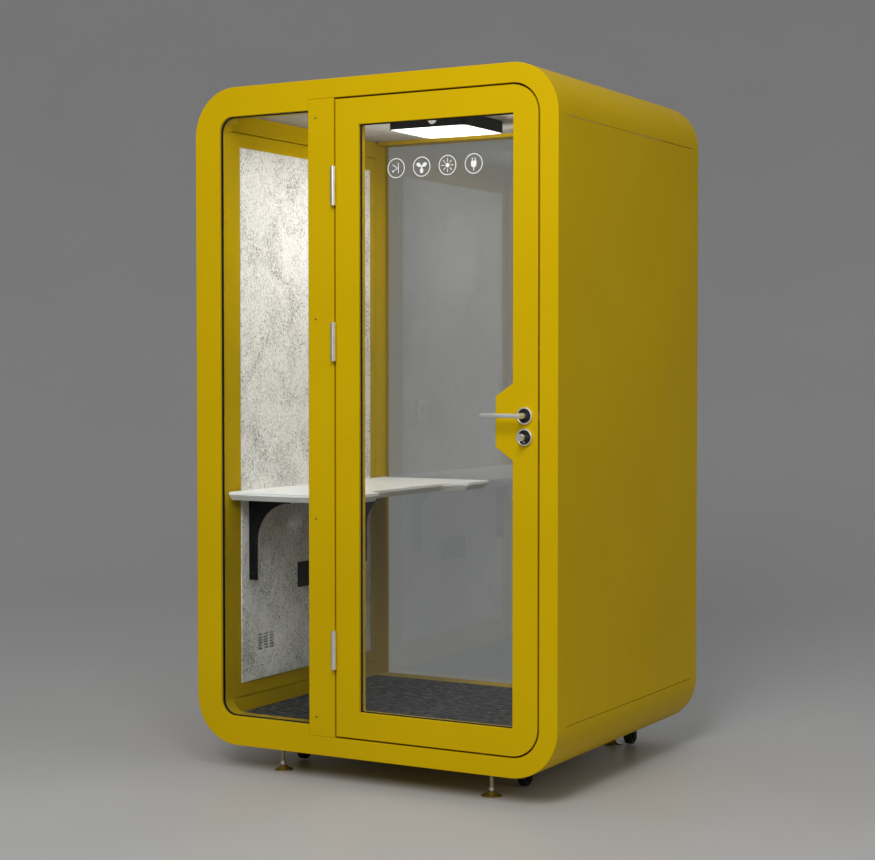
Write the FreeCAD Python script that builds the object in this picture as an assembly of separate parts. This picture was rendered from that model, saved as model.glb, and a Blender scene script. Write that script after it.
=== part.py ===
"""Free-standing acoustic telephone booth, built as its separate real pieces.

Millimetres. +X is to the right seen from the front, +Y to the back, +Z up.
The origin is on the floor, under the middle of the booth's overall box, which
runs from the lever outside the door to the power inlet on the back.
"""
import FreeCAD, Part
import math
import os

V = FreeCAD.Vector
os.makedirs("parts", exist_ok=True)

# ---- overall body ----------------------------
body_w = 1360.0        # outside width
body_d = 1145.0        # outside depth, front face to rear face
body_h = 2210.0        # height of the body without its feet
ground_gap = 90.0      # floor to the underside of the body
corner_r = 160.0       # outside corners of the front and rear rings
crease_h = 164.0       # where the roof and base shells meet the side panels
sheet = 2.0            # painted sheet steel
fold_r = 1.5           # outside radius where a sheet is folded
seam = 0.5             # gap at a butt seam between two panels
crease_gap = 2.0       # gap where a side panel meets the roof and base shells
shadow_gap = 3.0       # open joint that shows round an inner wall panel
tab_w = 15.0           # stepped-back tabs that hold the panel across that joint
tab_len = 40.0
tab_end = 140.0        # end of the panel to the middle of its last tab
wall_t = 93.0          # outside face to inside face of a side wall

# ---- front and rear rings ----------------------------
ring_d = 60.0          # depth of the outer band of a ring
return_inset = 60.0    # outer edge of a ring's return flange, from outside
front_lining_d = 70.5  # depth of the front ring's lining
rear_lining_d = 125.5  # depth of the rear ring's lining
rear_border = 86.5     # rear ring, top and bottom border
glass_rebate = 14.0    # how far the glazing rebate of the rear ring steps out
rear_glass_set = 52.5  # rear face to the shelf of the glazing rebate

# ---- fixed window and mullion ----------------------------
window_border = 98.0   # front ring above and below the window
window_in = 5.0        # inner wall face to the window's left edge
window_w = 355.5
window_r = 52.0        # rounded left corners of the window
mullion_w = 100.0

# ---- door ----------------------------
door_border = 62.5     # front ring above and below the door
door_out = 30.5        # inner wall face to the door opening, outwards
door_gap = 6.0         # clearance all round the leaf
door_t = 42.0
seal_room = 6.5        # back of the leaf to the stop that the seal sits on
stop_lap = 17.5        # how far the stop reaches behind the leaf
hinge_stile = 88.6
lock_stile = 86.0
door_rail = 86.0
lock_pad_w = 60.0      # widened part of the lock stile
lock_pad_half = 120.0
lock_pad_flat = 78.5

# ---- glazing ----------------------------
glass_t = 8.0
gasket_t = 1.5         # rubber between the edge of a pane and its frame
gasket_lip = 1.5       # rubber over the face of a pane
lip_t = 1.5
glass_set = 10.0       # front face to the front of the gasket

# ---- hinges ----------------------------
hinge_len = 126.0
hinge_r = 9.0
hinge_pin_r = 4.0
hinge_out = 10.0       # pin axis in front of the front face
hinge_leaf_t = 2.5
hinge_leaf_d = 32.0
hinge_top = 280.0      # top of the leaf to the middle of the top hinge
hinge_mid = 784.0      # top of the leaf to the middle of the middle hinge
hinge_low = 284.0      # bottom of the leaf to the middle of the lowest hinge
run_fit = 0.05         # radial clearance of a turning pin
knuckle_gap = 0.4

# ---- lock ----------------------------
lever_up = 1039.3      # carpet to the lever's axis
lock_drop = 66.0       # lever axis to thumb turn axis
backset = 43.3         # leaf edge to both axes
rose_r = 27.0
rose_t = 8.0
lever_len = 125.0
lever_r = 7.0
lever_neck_r = 9.0
lever_stand = 49.5     # leaf face to the middle of the lever's bar
spindle_r = 6.0
turn_spindle_r = 4.0
turn_r = 11.5          # head of the outer turn
turn_neck_r = 7.0
turn_neck = 19.0       # rose to the head
turn_head = 11.0
release_r = 3.0        # emergency release pin in the outer lock rose
release_drop = 15.0
turn_hub_r = 9.5       # hub of the inner thumb turn
turn_hub = 8.0
thumb_t = 10.0
thumb_h = 34.0
thumb_out = 18.0
socket_deep = 22.0     # depth of the socket in the inner lever
turn_socket_deep = 10.0
press_fit = 0.02       # clearance of a shaft keyed into its knob
case_w = 62.0
case_t = 16.0
case_h = 165.0
face_w = 22.0
face_h = 205.0
face_t = 3.0
latch_w = 12.0
latch_h = 20.0
latch_throw = 12.0
bolt_w = 14.0
bolt_h = 22.0
slot_fit = 0.3         # clearance round the latch and the deadbolt
strike_h = 150.0
strike_w = 21.0
strike_hole_fit = 2.0

# ---- inner lining ----------------------------
lining_up = 136.4      # underside of the body to the lower edge of the wall panels
lining_drop = 134.0    # top of the body to the upper edge of the wall panels
felt_front = 55.5      # front edge of a wall panel to the felt
felt_rear = 46.0
felt_low = 51.0
felt_top = 51.0
felt_t = 9.0
felt_proud = 4.0
ceiling_drop = 74.0    # top of the body to the ceiling surface
ceiling_t = 8.0
carpet_up = 86.7       # underside of the body to the top of the carpet
carpet_t = 6.7
board_t = 18.0

# ---- desk ----------------------------
desk_up = 764.3        # carpet to the top of the desk
desk_t = 28.0
desk_deep = 475.0      # wall to the user's edge
desk_bevel = 17.0      # undercut along the free edges
desk_front_gap = 26.0  # desk to the gasket of the window
desk_rear_gap = 21.0   # desk to the gasket of the rear pane
desk_notch_gap = 6.0   # desk to the mullion that it passes behind
scoop_in = 68.0        # depth of the cut-out in front of the user
scoop_len = 500.0
scoop_slope = 64.0
scoop_back = 17.0      # the cut-out's middle, behind the desk's middle
desk_corner_r = 26.0
cable_slot_w = 26.0
cable_slot_len = 90.0
cable_slot_in = 40.0   # wall edge of the desk to the slot
cable_slot_back = 150.0  # front end of the slot, in front of the desk's middle
bracket_t = 10.0
bracket_leg = 30.0
bracket_arm = 165.0
bracket_h = 283.0
bracket_tip = 14.0     # depth of the arm at its free end
bracket_front = 168.0  # front face of the booth to the first bracket
bracket_pitch = 720.0

# ---- lamp and sensor ----------------------------
lamp_x = -30.0
lamp_back = 8.0        # behind the middle of the body
lamp_w = 306.0
lamp_d = 290.0
lamp_h = 42.0
lamp_r = 24.0
lamp_wall = 3.0
diffuser_t = 5.0
sensor_r = 16.0
sensor_x = -5.0
sensor_z_drop = 17.0   # ceiling to the sensor's middle

# ---- ventilation ----------------------------
fan_x = 330.0
fan_size = 120.0
fan_t = 38.0
fan_bore_r = 56.0
impeller_r = 52.0
hub_r = 20.0
blade_n = 7
fan_slot_n = 9
vent_front = 272.5     # front face to the middle of the intake grid
vent_up = 316.0        # underside of the body to the middle of the intake grid
vent_cols = 3
vent_rows = 6
vent_slot_w = 28.0
vent_slot_h = 5.0
vent_pitch_y = 35.0
vent_pitch_z = 9.8

# ---- electrics ----------------------------
socket_front = 560.5   # front face to the middle of the socket panel
socket_drop = 322.0    # top of the desk to the middle of the socket panel
socket_w = 184.0
socket_h = 90.0
socket_t = 9.0
switch_front = 830.5   # front face to the middle of the switch plate
switch_up = 255.0      # top of the desk to the middle of the switch plate
switch_w = 86.0
switch_t = 9.0
knob_r = 17.0
knob_len = 12.0
inlet_w = 48.0
inlet_h = 28.0
inlet_out = 4.0
inlet_in = 60.0        # inlet to the rounded corner of the rear ring

# ---- feet and casters ----------------------------
rail_w = 110.0         # chassis rails, running front to back
rail_x = 430.0
rail_wall = 3.0
foot_x = 400.0
foot_in = 102.5        # front or rear face to the feet
foot_stem_r = 7.0
foot_stem_up = 48.1      # underside of the body to the top of a stem
pad_r = 34.0
pad_neck_r = 12.0
pad_h = 18.0
pad_skirt = 4.0        # straight rim of the pad under its cone
pad_floor = 5.0
hex_af = 19.0
hex_z = 20.5
hex_h = 8.0
wheel_r = 25.0
wheel_w = 30.0
wheel_lift = 3.0       # the wheels hang clear of the floor on the feet
fork_gap = 2.0
fork_wall = 3.0
fork_trail = 14.0
leg_d = 28.0           # fork legs, front to back
leg_below = 9.0        # axle to the foot of a leg
crown_d = 32.0
crown_h = 12.0
crown_gap = 3.0        # wheel to the crown over it
plate_w = 48.0         # plates of the fixed casters
plate_d = 60.0
plate_t = 4.0
front_caster_x = 430.0
front_caster_in = 264.0  # front face to the front casters
rear_caster_x = 457.0
rear_caster_in = 76.0  # rear face to the rear casters
axle_r = 4.0
stem_r = 6.0

# ---- places worked out from the sizes ----------------------------
x_left = -body_w / 2
x_right = body_w / 2
y_front = -(body_d + inlet_out - lever_stand - lever_r) / 2
y_rear = y_front + body_d
z_low = ground_gap
z_top = ground_gap + body_h
carpet_z = z_low + carpet_up
lining_low = z_low + lining_up
vent_z = z_low + vent_up
foot_stem_top = z_low + foot_stem_up
desk_z = carpet_z + desk_up
lever_z = carpet_z + lever_up
socket_z = desk_z - socket_drop
switch_z = desk_z + switch_up
y_side_front = y_front + ring_d
y_side_rear = y_rear - ring_d
y_in_front = y_front + front_lining_d
y_in_rear = y_rear - rear_lining_d
wall_l = x_left + wall_t
wall_r = x_right - wall_t
ceiling_z = z_top - ceiling_drop
felt_face_l = wall_l + felt_proud
mid_y = (y_front + y_rear) / 2
foot_ys = {"f": y_front + foot_in, "r": y_rear - foot_in}
front_caster_y = y_front + front_caster_in
rear_caster_y = y_rear - rear_caster_in
lamp_y = mid_y + lamp_back
fan_y = mid_y
vent_y = y_front + vent_front
socket_y = y_front + socket_front
switch_y = y_front + switch_front

window_x0 = wall_l + window_in
window_x1 = window_x0 + window_w
window_z0 = z_low + window_border
window_z1 = z_top - window_border
mullion_x1 = window_x1 + mullion_w
opening_x1 = wall_r + door_out
opening_z0 = z_low + door_border
opening_z1 = z_top - door_border
opening_r = corner_r - door_border
stop_x1 = opening_x1 - stop_lap
stop_z1 = opening_z1 - stop_lap
y_stop = y_front + door_t + seal_room

leaf_x0 = mullion_x1 + door_gap
leaf_x1 = opening_x1 - door_gap
leaf_z0 = opening_z0 + door_gap
leaf_z1 = opening_z1 - door_gap
leaf_r = opening_r - door_gap
y_leaf_rear = y_front + door_t
y_leaf_mid = y_front + door_t / 2
pane_x0 = leaf_x0 + hinge_stile
pane_x1 = leaf_x1 - lock_stile
pane_z0 = leaf_z0 + door_rail
pane_z1 = leaf_z1 - door_rail

lock_x = leaf_x1 - backset
lock_z = lever_z - lock_drop
hinge_x = mullion_x1 + door_gap / 2
hinge_y = y_front - hinge_out
hinge_zs = [leaf_z1 - hinge_top, leaf_z1 - hinge_mid, leaf_z0 + hinge_low]

nodes = {}


def add(name, *solids):
    """Keep a piece, or a group of like pieces, under its name."""
    nodes[name] = solids[0] if len(solids) == 1 else Part.makeCompound(list(solids))


def block(x0, x1, y0, y1, z0, z1):
    return Part.makeBox(x1 - x0, y1 - y0, z1 - z0, V(x0, y0, z0))


def rod(radius, start, direction, length):
    return Part.makeCylinder(radius, length, V(*start), V(*direction))


def rounded(points, radii):
    """A closed wire through the points, each corner rounded by its radius."""
    count = len(points)
    ends = []
    arcs = []
    for i in range(count):
        here = V(*points[i])
        back = (V(*points[i - 1]) - here).normalize()
        ahead = (V(*points[(i + 1) % count]) - here).normalize()
        if radii[i] <= 0:
            ends.append((here, here))
            arcs.append(None)
            continue
        half = back.getAngle(ahead) / 2
        run = radii[i] / math.tan(half)
        start = here + back * run
        stop = here + ahead * run
        centre = here + (back + ahead).normalize() * (radii[i] / math.sin(half))
        middle = centre + (here - centre).normalize() * radii[i]
        ends.append((start, stop))
        arcs.append(Part.Arc(start, middle, stop).toShape())
    edges = []
    for i in range(count):
        if arcs[i]:
            edges.append(arcs[i])
        a = ends[i][1]
        b = ends[(i + 1) % count][0]
        if (a - b).Length > 1e-6:
            edges.append(Part.LineSegment(a, b).toShape())
    return Part.Wire(edges)


def upright(x0, x1, z0, z1, y0, y1, r_left=0.0, r_right=0.0):
    """A plate standing in the XZ plane, with rounded left and right corners."""
    points = [(x0, y0, z0), (x1, y0, z0), (x1, y0, z1), (x0, y0, z1)]
    wire = rounded(points, [r_left, r_right, r_right, r_left])
    return Part.Face(wire).extrude(V(0, y1 - y0, 0))


def grown(x0, x1, z0, z1, by, y0, y1, r_left=0.0, r_right=0.0):
    """The same plate, grown by a margin all round (shrunk if it is negative)."""
    r_l = max(r_left + by, 0) if r_left else 0
    r_r = max(r_right + by, 0) if r_right else 0
    return upright(x0 - by, x1 + by, z0 - by, z1 + by, y0, y1, r_l, r_r)


def lying(points, radii, z0, z1):
    """A plate lying flat between two heights."""
    wire = rounded([(x, y, z0) for x, y in points], radii)
    return Part.Face(wire).extrude(V(0, 0, z1 - z0))


def mirror_x(shape):
    return shape.mirror(V(0, 0, 0), V(1, 0, 0))


def outer_band(inset, y0, y1):
    """The rounded outline of a ring, inset from the outside."""
    return grown(x_left, x_right, z_low, z_top, -inset, y0, y1, corner_r, corner_r)


def folded(shape, face_y):
    """Round the folds where the sheet turns back from a face at that depth."""
    folds = [e for e in shape.Edges
             if abs(e.BoundBox.YMin - face_y) < 1e-4 and abs(e.BoundBox.YMax - face_y) < 1e-4]
    return shape.makeFillet(min(fold_r, 0.9 * sheet), folds)


# ---- rings ----------------------------
def hollow_ring(face_y, lining_y, openings):
    """A folded ring: face, outer band, lining and return flange.

    face_y is its outside face and lining_y the free edge of its lining.
    Each opening is (x0, x1, z0, z1, y0, y1, r_left, r_right).
    """
    inward = 1 if lining_y > face_y else -1
    band_y = face_y + inward * ring_d
    body = outer_band(0, face_y, band_y)
    body = body.fuse(outer_band(return_inset, band_y, lining_y))
    hollow = outer_band(sheet, face_y + inward * sheet, lining_y - inward * sheet)
    for x0, x1, z0, z1, y0, y1, r_l, r_r in openings:
        first = y0 - sheet if abs(y0 - face_y) > 1e-6 else y0
        last = y1 + sheet if abs(y1 - face_y) > 1e-6 else y1
        hollow = hollow.cut(grown(x0, x1, z0, z1, sheet, first, last, r_l, r_r))
    body = body.cut(hollow)
    for x0, x1, z0, z1, y0, y1, r_l, r_r in openings:
        body = body.cut(upright(x0, x1, z0, z1, y0, y1, r_l, r_r))
    return body.removeSplitter()


window_hole = (window_x0, window_x1, window_z0, window_z1, y_front, y_in_front,
               window_r, 0.0)
door_hole = (window_x1, opening_x1, opening_z0, opening_z1, y_front, y_stop,
             0.0, opening_r)
stop_hole = (window_x1, stop_x1, carpet_z, stop_z1, y_stop, y_in_front,
             0.0, opening_r - stop_lap)
front_frame = folded(hollow_ring(y_front, y_in_front, [window_hole, door_hole, stop_hole]),
                     y_front)


def bolt_slot(x0, x1, middle_z, width, height, fit):
    """A slot through the door edge or its jamb for the latch or the deadbolt."""
    return block(x0, x1, y_leaf_mid - width / 2 - fit, y_leaf_mid + width / 2 + fit,
                 middle_z - height / 2 - fit, middle_z + height / 2 + fit)


strike = block(opening_x1 - sheet, opening_x1,
               y_leaf_mid - strike_w / 2, y_leaf_mid + strike_w / 2,
               (lever_z + lock_z) / 2 - strike_h / 2, (lever_z + lock_z) / 2 + strike_h / 2)
for bolt in ((lever_z, latch_w, latch_h), (lock_z, bolt_w, bolt_h)):
    keep = bolt_slot(opening_x1 - sheet - 1, opening_x1 + sheet + 1, *bolt, strike_hole_fit)
    front_frame = front_frame.cut(keep)
    strike = strike.cut(keep)
add("front_frame", front_frame)
add("strike_plate", strike)

rear_x0 = wall_l
rear_x1 = wall_r
rear_z0 = z_low + rear_border
rear_z1 = z_top - rear_border
y_shelf = y_rear - rear_glass_set
rear_hole = (rear_x0, rear_x1, rear_z0, rear_z1, y_in_rear, y_shelf, 0.0, 0.0)
rebate_hole = (rear_x0 - glass_rebate, rear_x1 + glass_rebate,
               rear_z0 - glass_rebate, rear_z1 + glass_rebate, y_shelf, y_rear, 0.0, 0.0)
add("rear_frame", folded(hollow_ring(y_rear, y_in_rear, [rear_hole, rebate_hole]), y_rear))

# ---- mullion post ----------------------------
front_part = block(window_x1 + seam, mullion_x1, y_front, y_stop,
                   opening_z0 + seam, opening_z1 - seam)
rear_part = block(window_x1 + seam, mullion_x1 + stop_lap, y_stop, y_in_front,
                  carpet_z + seam, stop_z1 - seam)
front_core = block(window_x1 + seam + sheet, mullion_x1 - sheet, y_front + sheet,
                   y_in_front - sheet, z_low, z_top)
rear_core = block(window_x1 + seam + sheet, mullion_x1 + stop_lap - sheet, y_stop + sheet,
                  y_in_front - sheet, z_low, z_top)
mullion = front_part.fuse(rear_part).cut(front_core).cut(rear_core).removeSplitter()
add("mullion_post", folded(mullion, y_front))

# ---- glazing ----------------------------
def glazing(x0, x1, z0, z1, y0, r_left=0.0):
    """A pane and the rubber channel round its edge, inside a frame opening."""
    y1 = y0 + lip_t + glass_t + lip_t
    rubber = upright(x0, x1, z0, z1, y0, y1, r_left)
    sight = gasket_t + gasket_lip
    rubber = rubber.cut(grown(x0, x1, z0, z1, -sight, y0, y1, r_left))
    pane = grown(x0, x1, z0, z1, -gasket_t, y0 + lip_t, y1 - lip_t, r_left)
    return pane, rubber.cut(pane)


window_pane, window_rubber = glazing(window_x0, window_x1, window_z0, window_z1,
                                     y_front + glass_set, window_r)
add("window_glass", window_pane)
rear_pane, rear_rubber = glazing(rear_x0 - glass_rebate, rear_x1 + glass_rebate,
                                 rear_z0 - glass_rebate, rear_z1 + glass_rebate, y_shelf)
add("rear_glass", rear_pane)
add("glazing_gaskets", window_rubber, rear_rubber)
door_pane, door_rubber = glazing(pane_x0, pane_x1, pane_z0, pane_z1, y_front + glass_set)

# ---- outer shells ----------------------------
tube = outer_band(0, y_side_front, y_side_rear).cut(outer_band(sheet, y_side_front, y_side_rear))
roof_zone = block(x_left, x_right, y_side_front, y_side_rear, z_top - crease_h, z_top)
base_zone = block(x_left, x_right, y_side_front, y_side_rear, z_low, z_low + crease_h)
roof = tube.common(roof_zone)
base = tube.common(base_zone)

slot_pitch = 2 * fan_bore_r / fan_slot_n
for i in range(fan_slot_n):
    offset = (i - (fan_slot_n - 1) / 2) * slot_pitch
    half = math.sqrt(fan_bore_r ** 2 - offset ** 2) - 4
    slot = block(fan_x + offset - slot_pitch / 4, fan_x + offset + slot_pitch / 4,
                 fan_y - half, fan_y + half, ceiling_z - 1, z_top + 1)
    roof = roof.cut(slot)
add("roof_shell", roof)


def side_panel():
    """Folded side panel: a flat sheet with a return along its top and bottom."""
    z0 = z_low + crease_h + crease_gap
    z1 = z_top - crease_h - crease_gap
    tray = block(x_left, x_left + 20, y_side_front + seam, y_side_rear - seam, z0, z1)
    return tray.cut(block(x_left + sheet, x_left + 20, y_side_front, y_side_rear,
                          z0 + sheet, z1 - sheet))


vent_slots = []
for col in range(vent_cols):
    for row in range(vent_rows):
        slot_y = vent_y + (col - (vent_cols - 1) / 2) * vent_pitch_y
        slot_z = vent_z + (row - (vent_rows - 1) / 2) * vent_pitch_z
        vent_slots.append(block(x_left - 1, felt_face_l + 1,
                                slot_y - vent_slot_w / 2, slot_y + vent_slot_w / 2,
                                slot_z - vent_slot_h / 2, slot_z + vent_slot_h / 2))
vent_grid = Part.makeCompound(vent_slots)
vent_half_y = (vent_cols * vent_pitch_y) / 2 + 6
vent_half_z = (vent_rows * vent_pitch_z) / 2 + 6

add("left_outer_panel", side_panel().cut(vent_grid))
add("right_outer_panel", mirror_x(side_panel()))

# ---- inner lining ----------------------------
lining_z1 = z_top - lining_drop
felt_y0 = y_in_front + felt_front
felt_y1 = y_in_rear - felt_rear
felt_z0 = lining_low + felt_low
felt_z1 = lining_z1 - felt_top
felt_back = felt_face_l - felt_t
panel = block(wall_l - sheet, wall_l, y_in_front + shadow_gap, y_in_rear - shadow_gap,
              lining_low + shadow_gap, lining_z1 - shadow_gap)
panel = panel.cut(block(wall_l - sheet, wall_l, felt_y0, felt_y1, felt_z0, felt_z1))
for z in (lining_low + tab_end, (lining_low + lining_z1) / 2, lining_z1 - tab_end):
    for tab_y in (y_in_front, y_in_rear - tab_w):
        panel = panel.fuse(block(wall_l - 2 * sheet, wall_l - sheet, tab_y, tab_y + tab_w,
                                 z - tab_len / 2, z + tab_len / 2))
add("left_inner_panel", panel)
add("right_inner_panel", mirror_x(panel))
felt = block(felt_back, felt_face_l, felt_y0, felt_y1, felt_z0, felt_z1)
add("left_felt", felt.cut(vent_grid))
add("right_felt", mirror_x(felt))

grille_t = 3.0
grille = block(felt_back - grille_t, felt_back, vent_y - vent_half_y, vent_y + vent_half_y,
               vent_z - vent_half_z, vent_z + vent_half_z)
add("intake_grille", grille.cut(vent_grid))

core_front = y_in_front
core_rear = y_in_rear
core_x1 = felt_back - grille_t
wall_core = block(x_left + sheet, core_x1, core_front, core_rear,
                  z_low + crease_h + crease_gap + sheet, z_top - crease_h - crease_gap - sheet)
duct = block(x_left, felt_back, vent_y - vent_half_y, vent_y + vent_half_y,
             vent_z - vent_half_z, vent_z + vent_half_z)
tray_top = ceiling_z + ceiling_t + sheet
roof_core = block(x_left + corner_r, x_right - corner_r, core_front, core_rear,
                  tray_top, z_top - sheet)
fan_bay = fan_size / 2 + 4
roof_core = roof_core.cut(block(fan_x - fan_bay, fan_x + fan_bay, fan_y - fan_bay,
                                fan_y + fan_bay, tray_top, z_top))
add("sound_insulation", wall_core.cut(duct), mirror_x(wall_core), roof_core)

tray = block(wall_l - sheet, wall_r + sheet, y_in_front, y_in_rear, lining_z1, tray_top)
tray = tray.cut(block(wall_l, wall_r, y_in_front, y_in_rear, lining_z1, ceiling_z + ceiling_t))
fan_hole = rod(fan_bore_r, (fan_x, fan_y, ceiling_z - 1), (0, 0, 1), 40)
add("ceiling_tray", tray.cut(fan_hole))
ceiling = block(wall_l, wall_r, y_in_front, y_in_rear, ceiling_z, ceiling_z + ceiling_t)
for i in range(fan_slot_n):
    offset = (i - (fan_slot_n - 1) / 2) * slot_pitch
    half = math.sqrt(fan_bore_r ** 2 - offset ** 2) - 4
    ceiling = ceiling.cut(block(fan_x + offset - slot_pitch / 4, fan_x + offset + slot_pitch / 4,
                                fan_y - half, fan_y + half, ceiling_z - 1,
                                ceiling_z + ceiling_t + 1))
add("ceiling_panel", ceiling)

board_z1 = carpet_z - carpet_t
board_z0 = board_z1 - board_t
floor_pan = block(wall_l - sheet, wall_r + sheet, y_in_front, y_in_rear,
                  board_z0 - sheet, lining_low)
floor_pan = floor_pan.cut(block(wall_l, wall_r, y_in_front, y_in_rear, board_z0, lining_low))
add("floor_tray", floor_pan)
add("floor_board", block(wall_l, wall_r, y_in_front, y_in_rear, board_z0, board_z1))
add("carpet", block(wall_l, wall_r, y_in_front, y_in_rear, board_z1, carpet_z))

# ---- chassis, feet and casters ----------------------------
rail_z0 = z_low + sheet
rail_z1 = board_z0 - sheet
rail = block(rail_x - rail_w / 2, rail_x + rail_w / 2, y_side_front, y_side_rear,
             rail_z0, rail_z1)
rail = rail.cut(block(rail_x - rail_w / 2 + rail_wall, rail_x + rail_w / 2 - rail_wall,
                      y_side_front, y_side_rear, rail_z0 + rail_wall, rail_z1 - rail_wall))
for y in foot_ys.values():
    rail = rail.cut(rod(foot_stem_r + run_fit, (foot_x, y, 0), (0, 0, 1), rail_z0 + 10))
rail = rail.cut(rod(stem_r + run_fit, (front_caster_x, front_caster_y, 0), (0, 0, 1),
                    rail_z0 + 10))
add("chassis_rails", rail, mirror_x(rail))

sides = {"l": -1, "r": 1}
shell_fit = 1.0
for sx in sides.values():
    for y in foot_ys.values():
        base = base.cut(rod(foot_stem_r + shell_fit, (sx * foot_x, y, z_low - 1),
                            (0, 0, 1), 10))
    base = base.cut(rod(stem_r + shell_fit, (sx * front_caster_x, front_caster_y, z_low - 1),
                        (0, 0, 1), 10))
add("base_shell", base)

pads = []
for end, y in foot_ys.items():
    for side, sx in sides.items():
        x = sx * foot_x
        stem = rod(foot_stem_r, (x, y, pad_floor + 0.1), (0, 0, 1),
                   foot_stem_top - pad_floor - 0.1)
        hexagon = []
        for k in range(6):
            turn = math.radians(60 * k)
            reach = hex_af / math.sqrt(3)
            hexagon.append((x + reach * math.cos(turn), y + reach * math.sin(turn)))
        nut = lying(hexagon, [0] * 6, hex_z, hex_z + hex_h)
        add("foot_stem_%s%s" % (end, side), stem.fuse(nut))
        pad = rod(pad_r, (x, y, 0), (0, 0, 1), pad_skirt)
        pad = pad.fuse(Part.makeCone(pad_r, pad_neck_r, pad_h - pad_skirt, V(x, y, pad_skirt)))
        pads.append(pad.cut(rod(foot_stem_r + run_fit, (x, y, pad_floor), (0, 0, 1), pad_h)))
add("foot_pads", *pads)

axle_z = wheel_lift + wheel_r
fork_half = wheel_w / 2 + fork_gap
fork_top = z_low - plate_t


def fork(x, y, trail, swivels):
    """Pressed fork with its riveted axle, on a swivel stem or a fixed plate."""
    wide = fork_half + fork_wall
    legs = block(x - wide, x + wide, y + trail - leg_d / 2, y + trail + leg_d / 2,
                 axle_z - leg_below, fork_top)
    legs = legs.fuse(block(x - wide, x + wide, y - crown_d / 2, y + crown_d / 2,
                           fork_top - crown_h, fork_top))
    gap_z = axle_z + wheel_r + crown_gap
    legs = legs.cut(block(x - fork_half, x + fork_half, y - wheel_r - trail, y + wheel_r + trail,
                          0, gap_z))
    body = legs.fuse(rod(axle_r, (x - wide, y + trail, axle_z), (1, 0, 0), 2 * wide))
    if swivels:
        body = body.fuse(rod(stem_r, (x, y, fork_top - 2), (0, 0, 1), rail_z0 + 22 - fork_top))
    else:
        body = body.fuse(block(x - plate_w / 2, x + plate_w / 2, y - plate_d / 2, y + plate_d / 2,
                               fork_top, z_low))
    return body.removeSplitter()


def wheel(x, y):
    """Wheel with rounded shoulders and its axle bore."""
    tyre = rod(wheel_r, (x - wheel_w / 2, y, axle_z), (1, 0, 0), wheel_w)
    rims = [e for e in tyre.Edges if len(e.Vertexes) == 1]
    tyre = tyre.makeFillet(4.0, rims)
    return tyre.cut(rod(axle_r + run_fit, (x - wheel_w, y, axle_z), (1, 0, 0), 2 * wheel_w))


rear_forks = []
for side, sx in sides.items():
    front_x = sx * front_caster_x
    rear_x = sx * rear_caster_x
    add("caster_fork_f" + side, fork(front_x, front_caster_y, fork_trail, True))
    add("caster_wheel_f" + side, wheel(front_x, front_caster_y + fork_trail))
    rear_forks.append(fork(rear_x, rear_caster_y, 0.0, False))
    add("caster_wheel_r" + side, wheel(rear_x, rear_caster_y))
add("rear_caster_forks", *rear_forks)

# ---- door leaf ----------------------------
leaf = upright(leaf_x0, leaf_x1, leaf_z0, leaf_z1, y_front, y_leaf_rear, 0.0, leaf_r)
leaf_hollow = grown(leaf_x0, leaf_x1, leaf_z0, leaf_z1, -sheet,
                    y_front + sheet, y_leaf_rear - sheet, 0.0, leaf_r)
lock_pad_z = (lever_z + lock_z) / 2 + 13.0


def leaf_opening(grow, y0, y1):
    """The glazed opening of the leaf, less the widened pad round the lock."""
    hole = grown(pane_x0, pane_x1, pane_z0, pane_z1, grow, y0, y1)
    x0 = pane_x1 - lock_pad_w - grow
    x1 = pane_x1 + grow + 1
    tall = lock_pad_half - 0.4 * grow
    flat = lock_pad_flat - 0.6 * grow
    pad = [(x1, y0, lock_pad_z - tall), (x1, y0, lock_pad_z + tall),
           (x0 + 2 * grow, y0, lock_pad_z + flat), (x0 + 2 * grow, y0, lock_pad_z - flat)]
    return hole.cut(Part.Face(Part.makePolygon(pad + pad[:1])).extrude(V(0, y1 - y0, 0)))


leaf_hollow = leaf_hollow.cut(leaf_opening(sheet, y_front, y_leaf_rear))
leaf = leaf.cut(leaf_opening(0.0, y_front, y_leaf_rear))
leaf = folded(leaf.cut(leaf_hollow).removeSplitter(), y_front)
face_z0 = (lever_z + lock_z) / 2 - face_h / 2
mortise = block(leaf_x1 - face_t, leaf_x1 + 1, y_leaf_mid - face_w / 2 - seam,
                y_leaf_mid + face_w / 2 + seam, face_z0 - seam, face_z0 + face_h + seam)
leaf = leaf.cut(mortise)
hole_fit = 3.0
for z, r in ((lever_z, spindle_r), (lock_z, turn_spindle_r)):
    leaf = leaf.cut(rod(r + hole_fit, (lock_x, y_front - 1, z), (0, 1, 0), door_t + 2))

# the lock pad stands in the pane's corner of the opening, so the pane and its
# rubber are cut round it
pad_x0 = pane_x1 - lock_pad_w


def pad_shape(grow, y0, y1):
    """The lock pad, grown by a margin."""
    x0 = pad_x0 - grow
    tall = lock_pad_half + 0.4 * grow
    flat = lock_pad_flat + 0.6 * grow
    pts = [(pane_x1 + 1, y0, lock_pad_z - tall), (pane_x1 + 1, y0, lock_pad_z + tall),
           (x0, y0, lock_pad_z + flat), (x0, y0, lock_pad_z - flat)]
    return Part.Face(Part.makePolygon(pts + pts[:1])).extrude(V(0, y1 - y0, 0))


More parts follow.
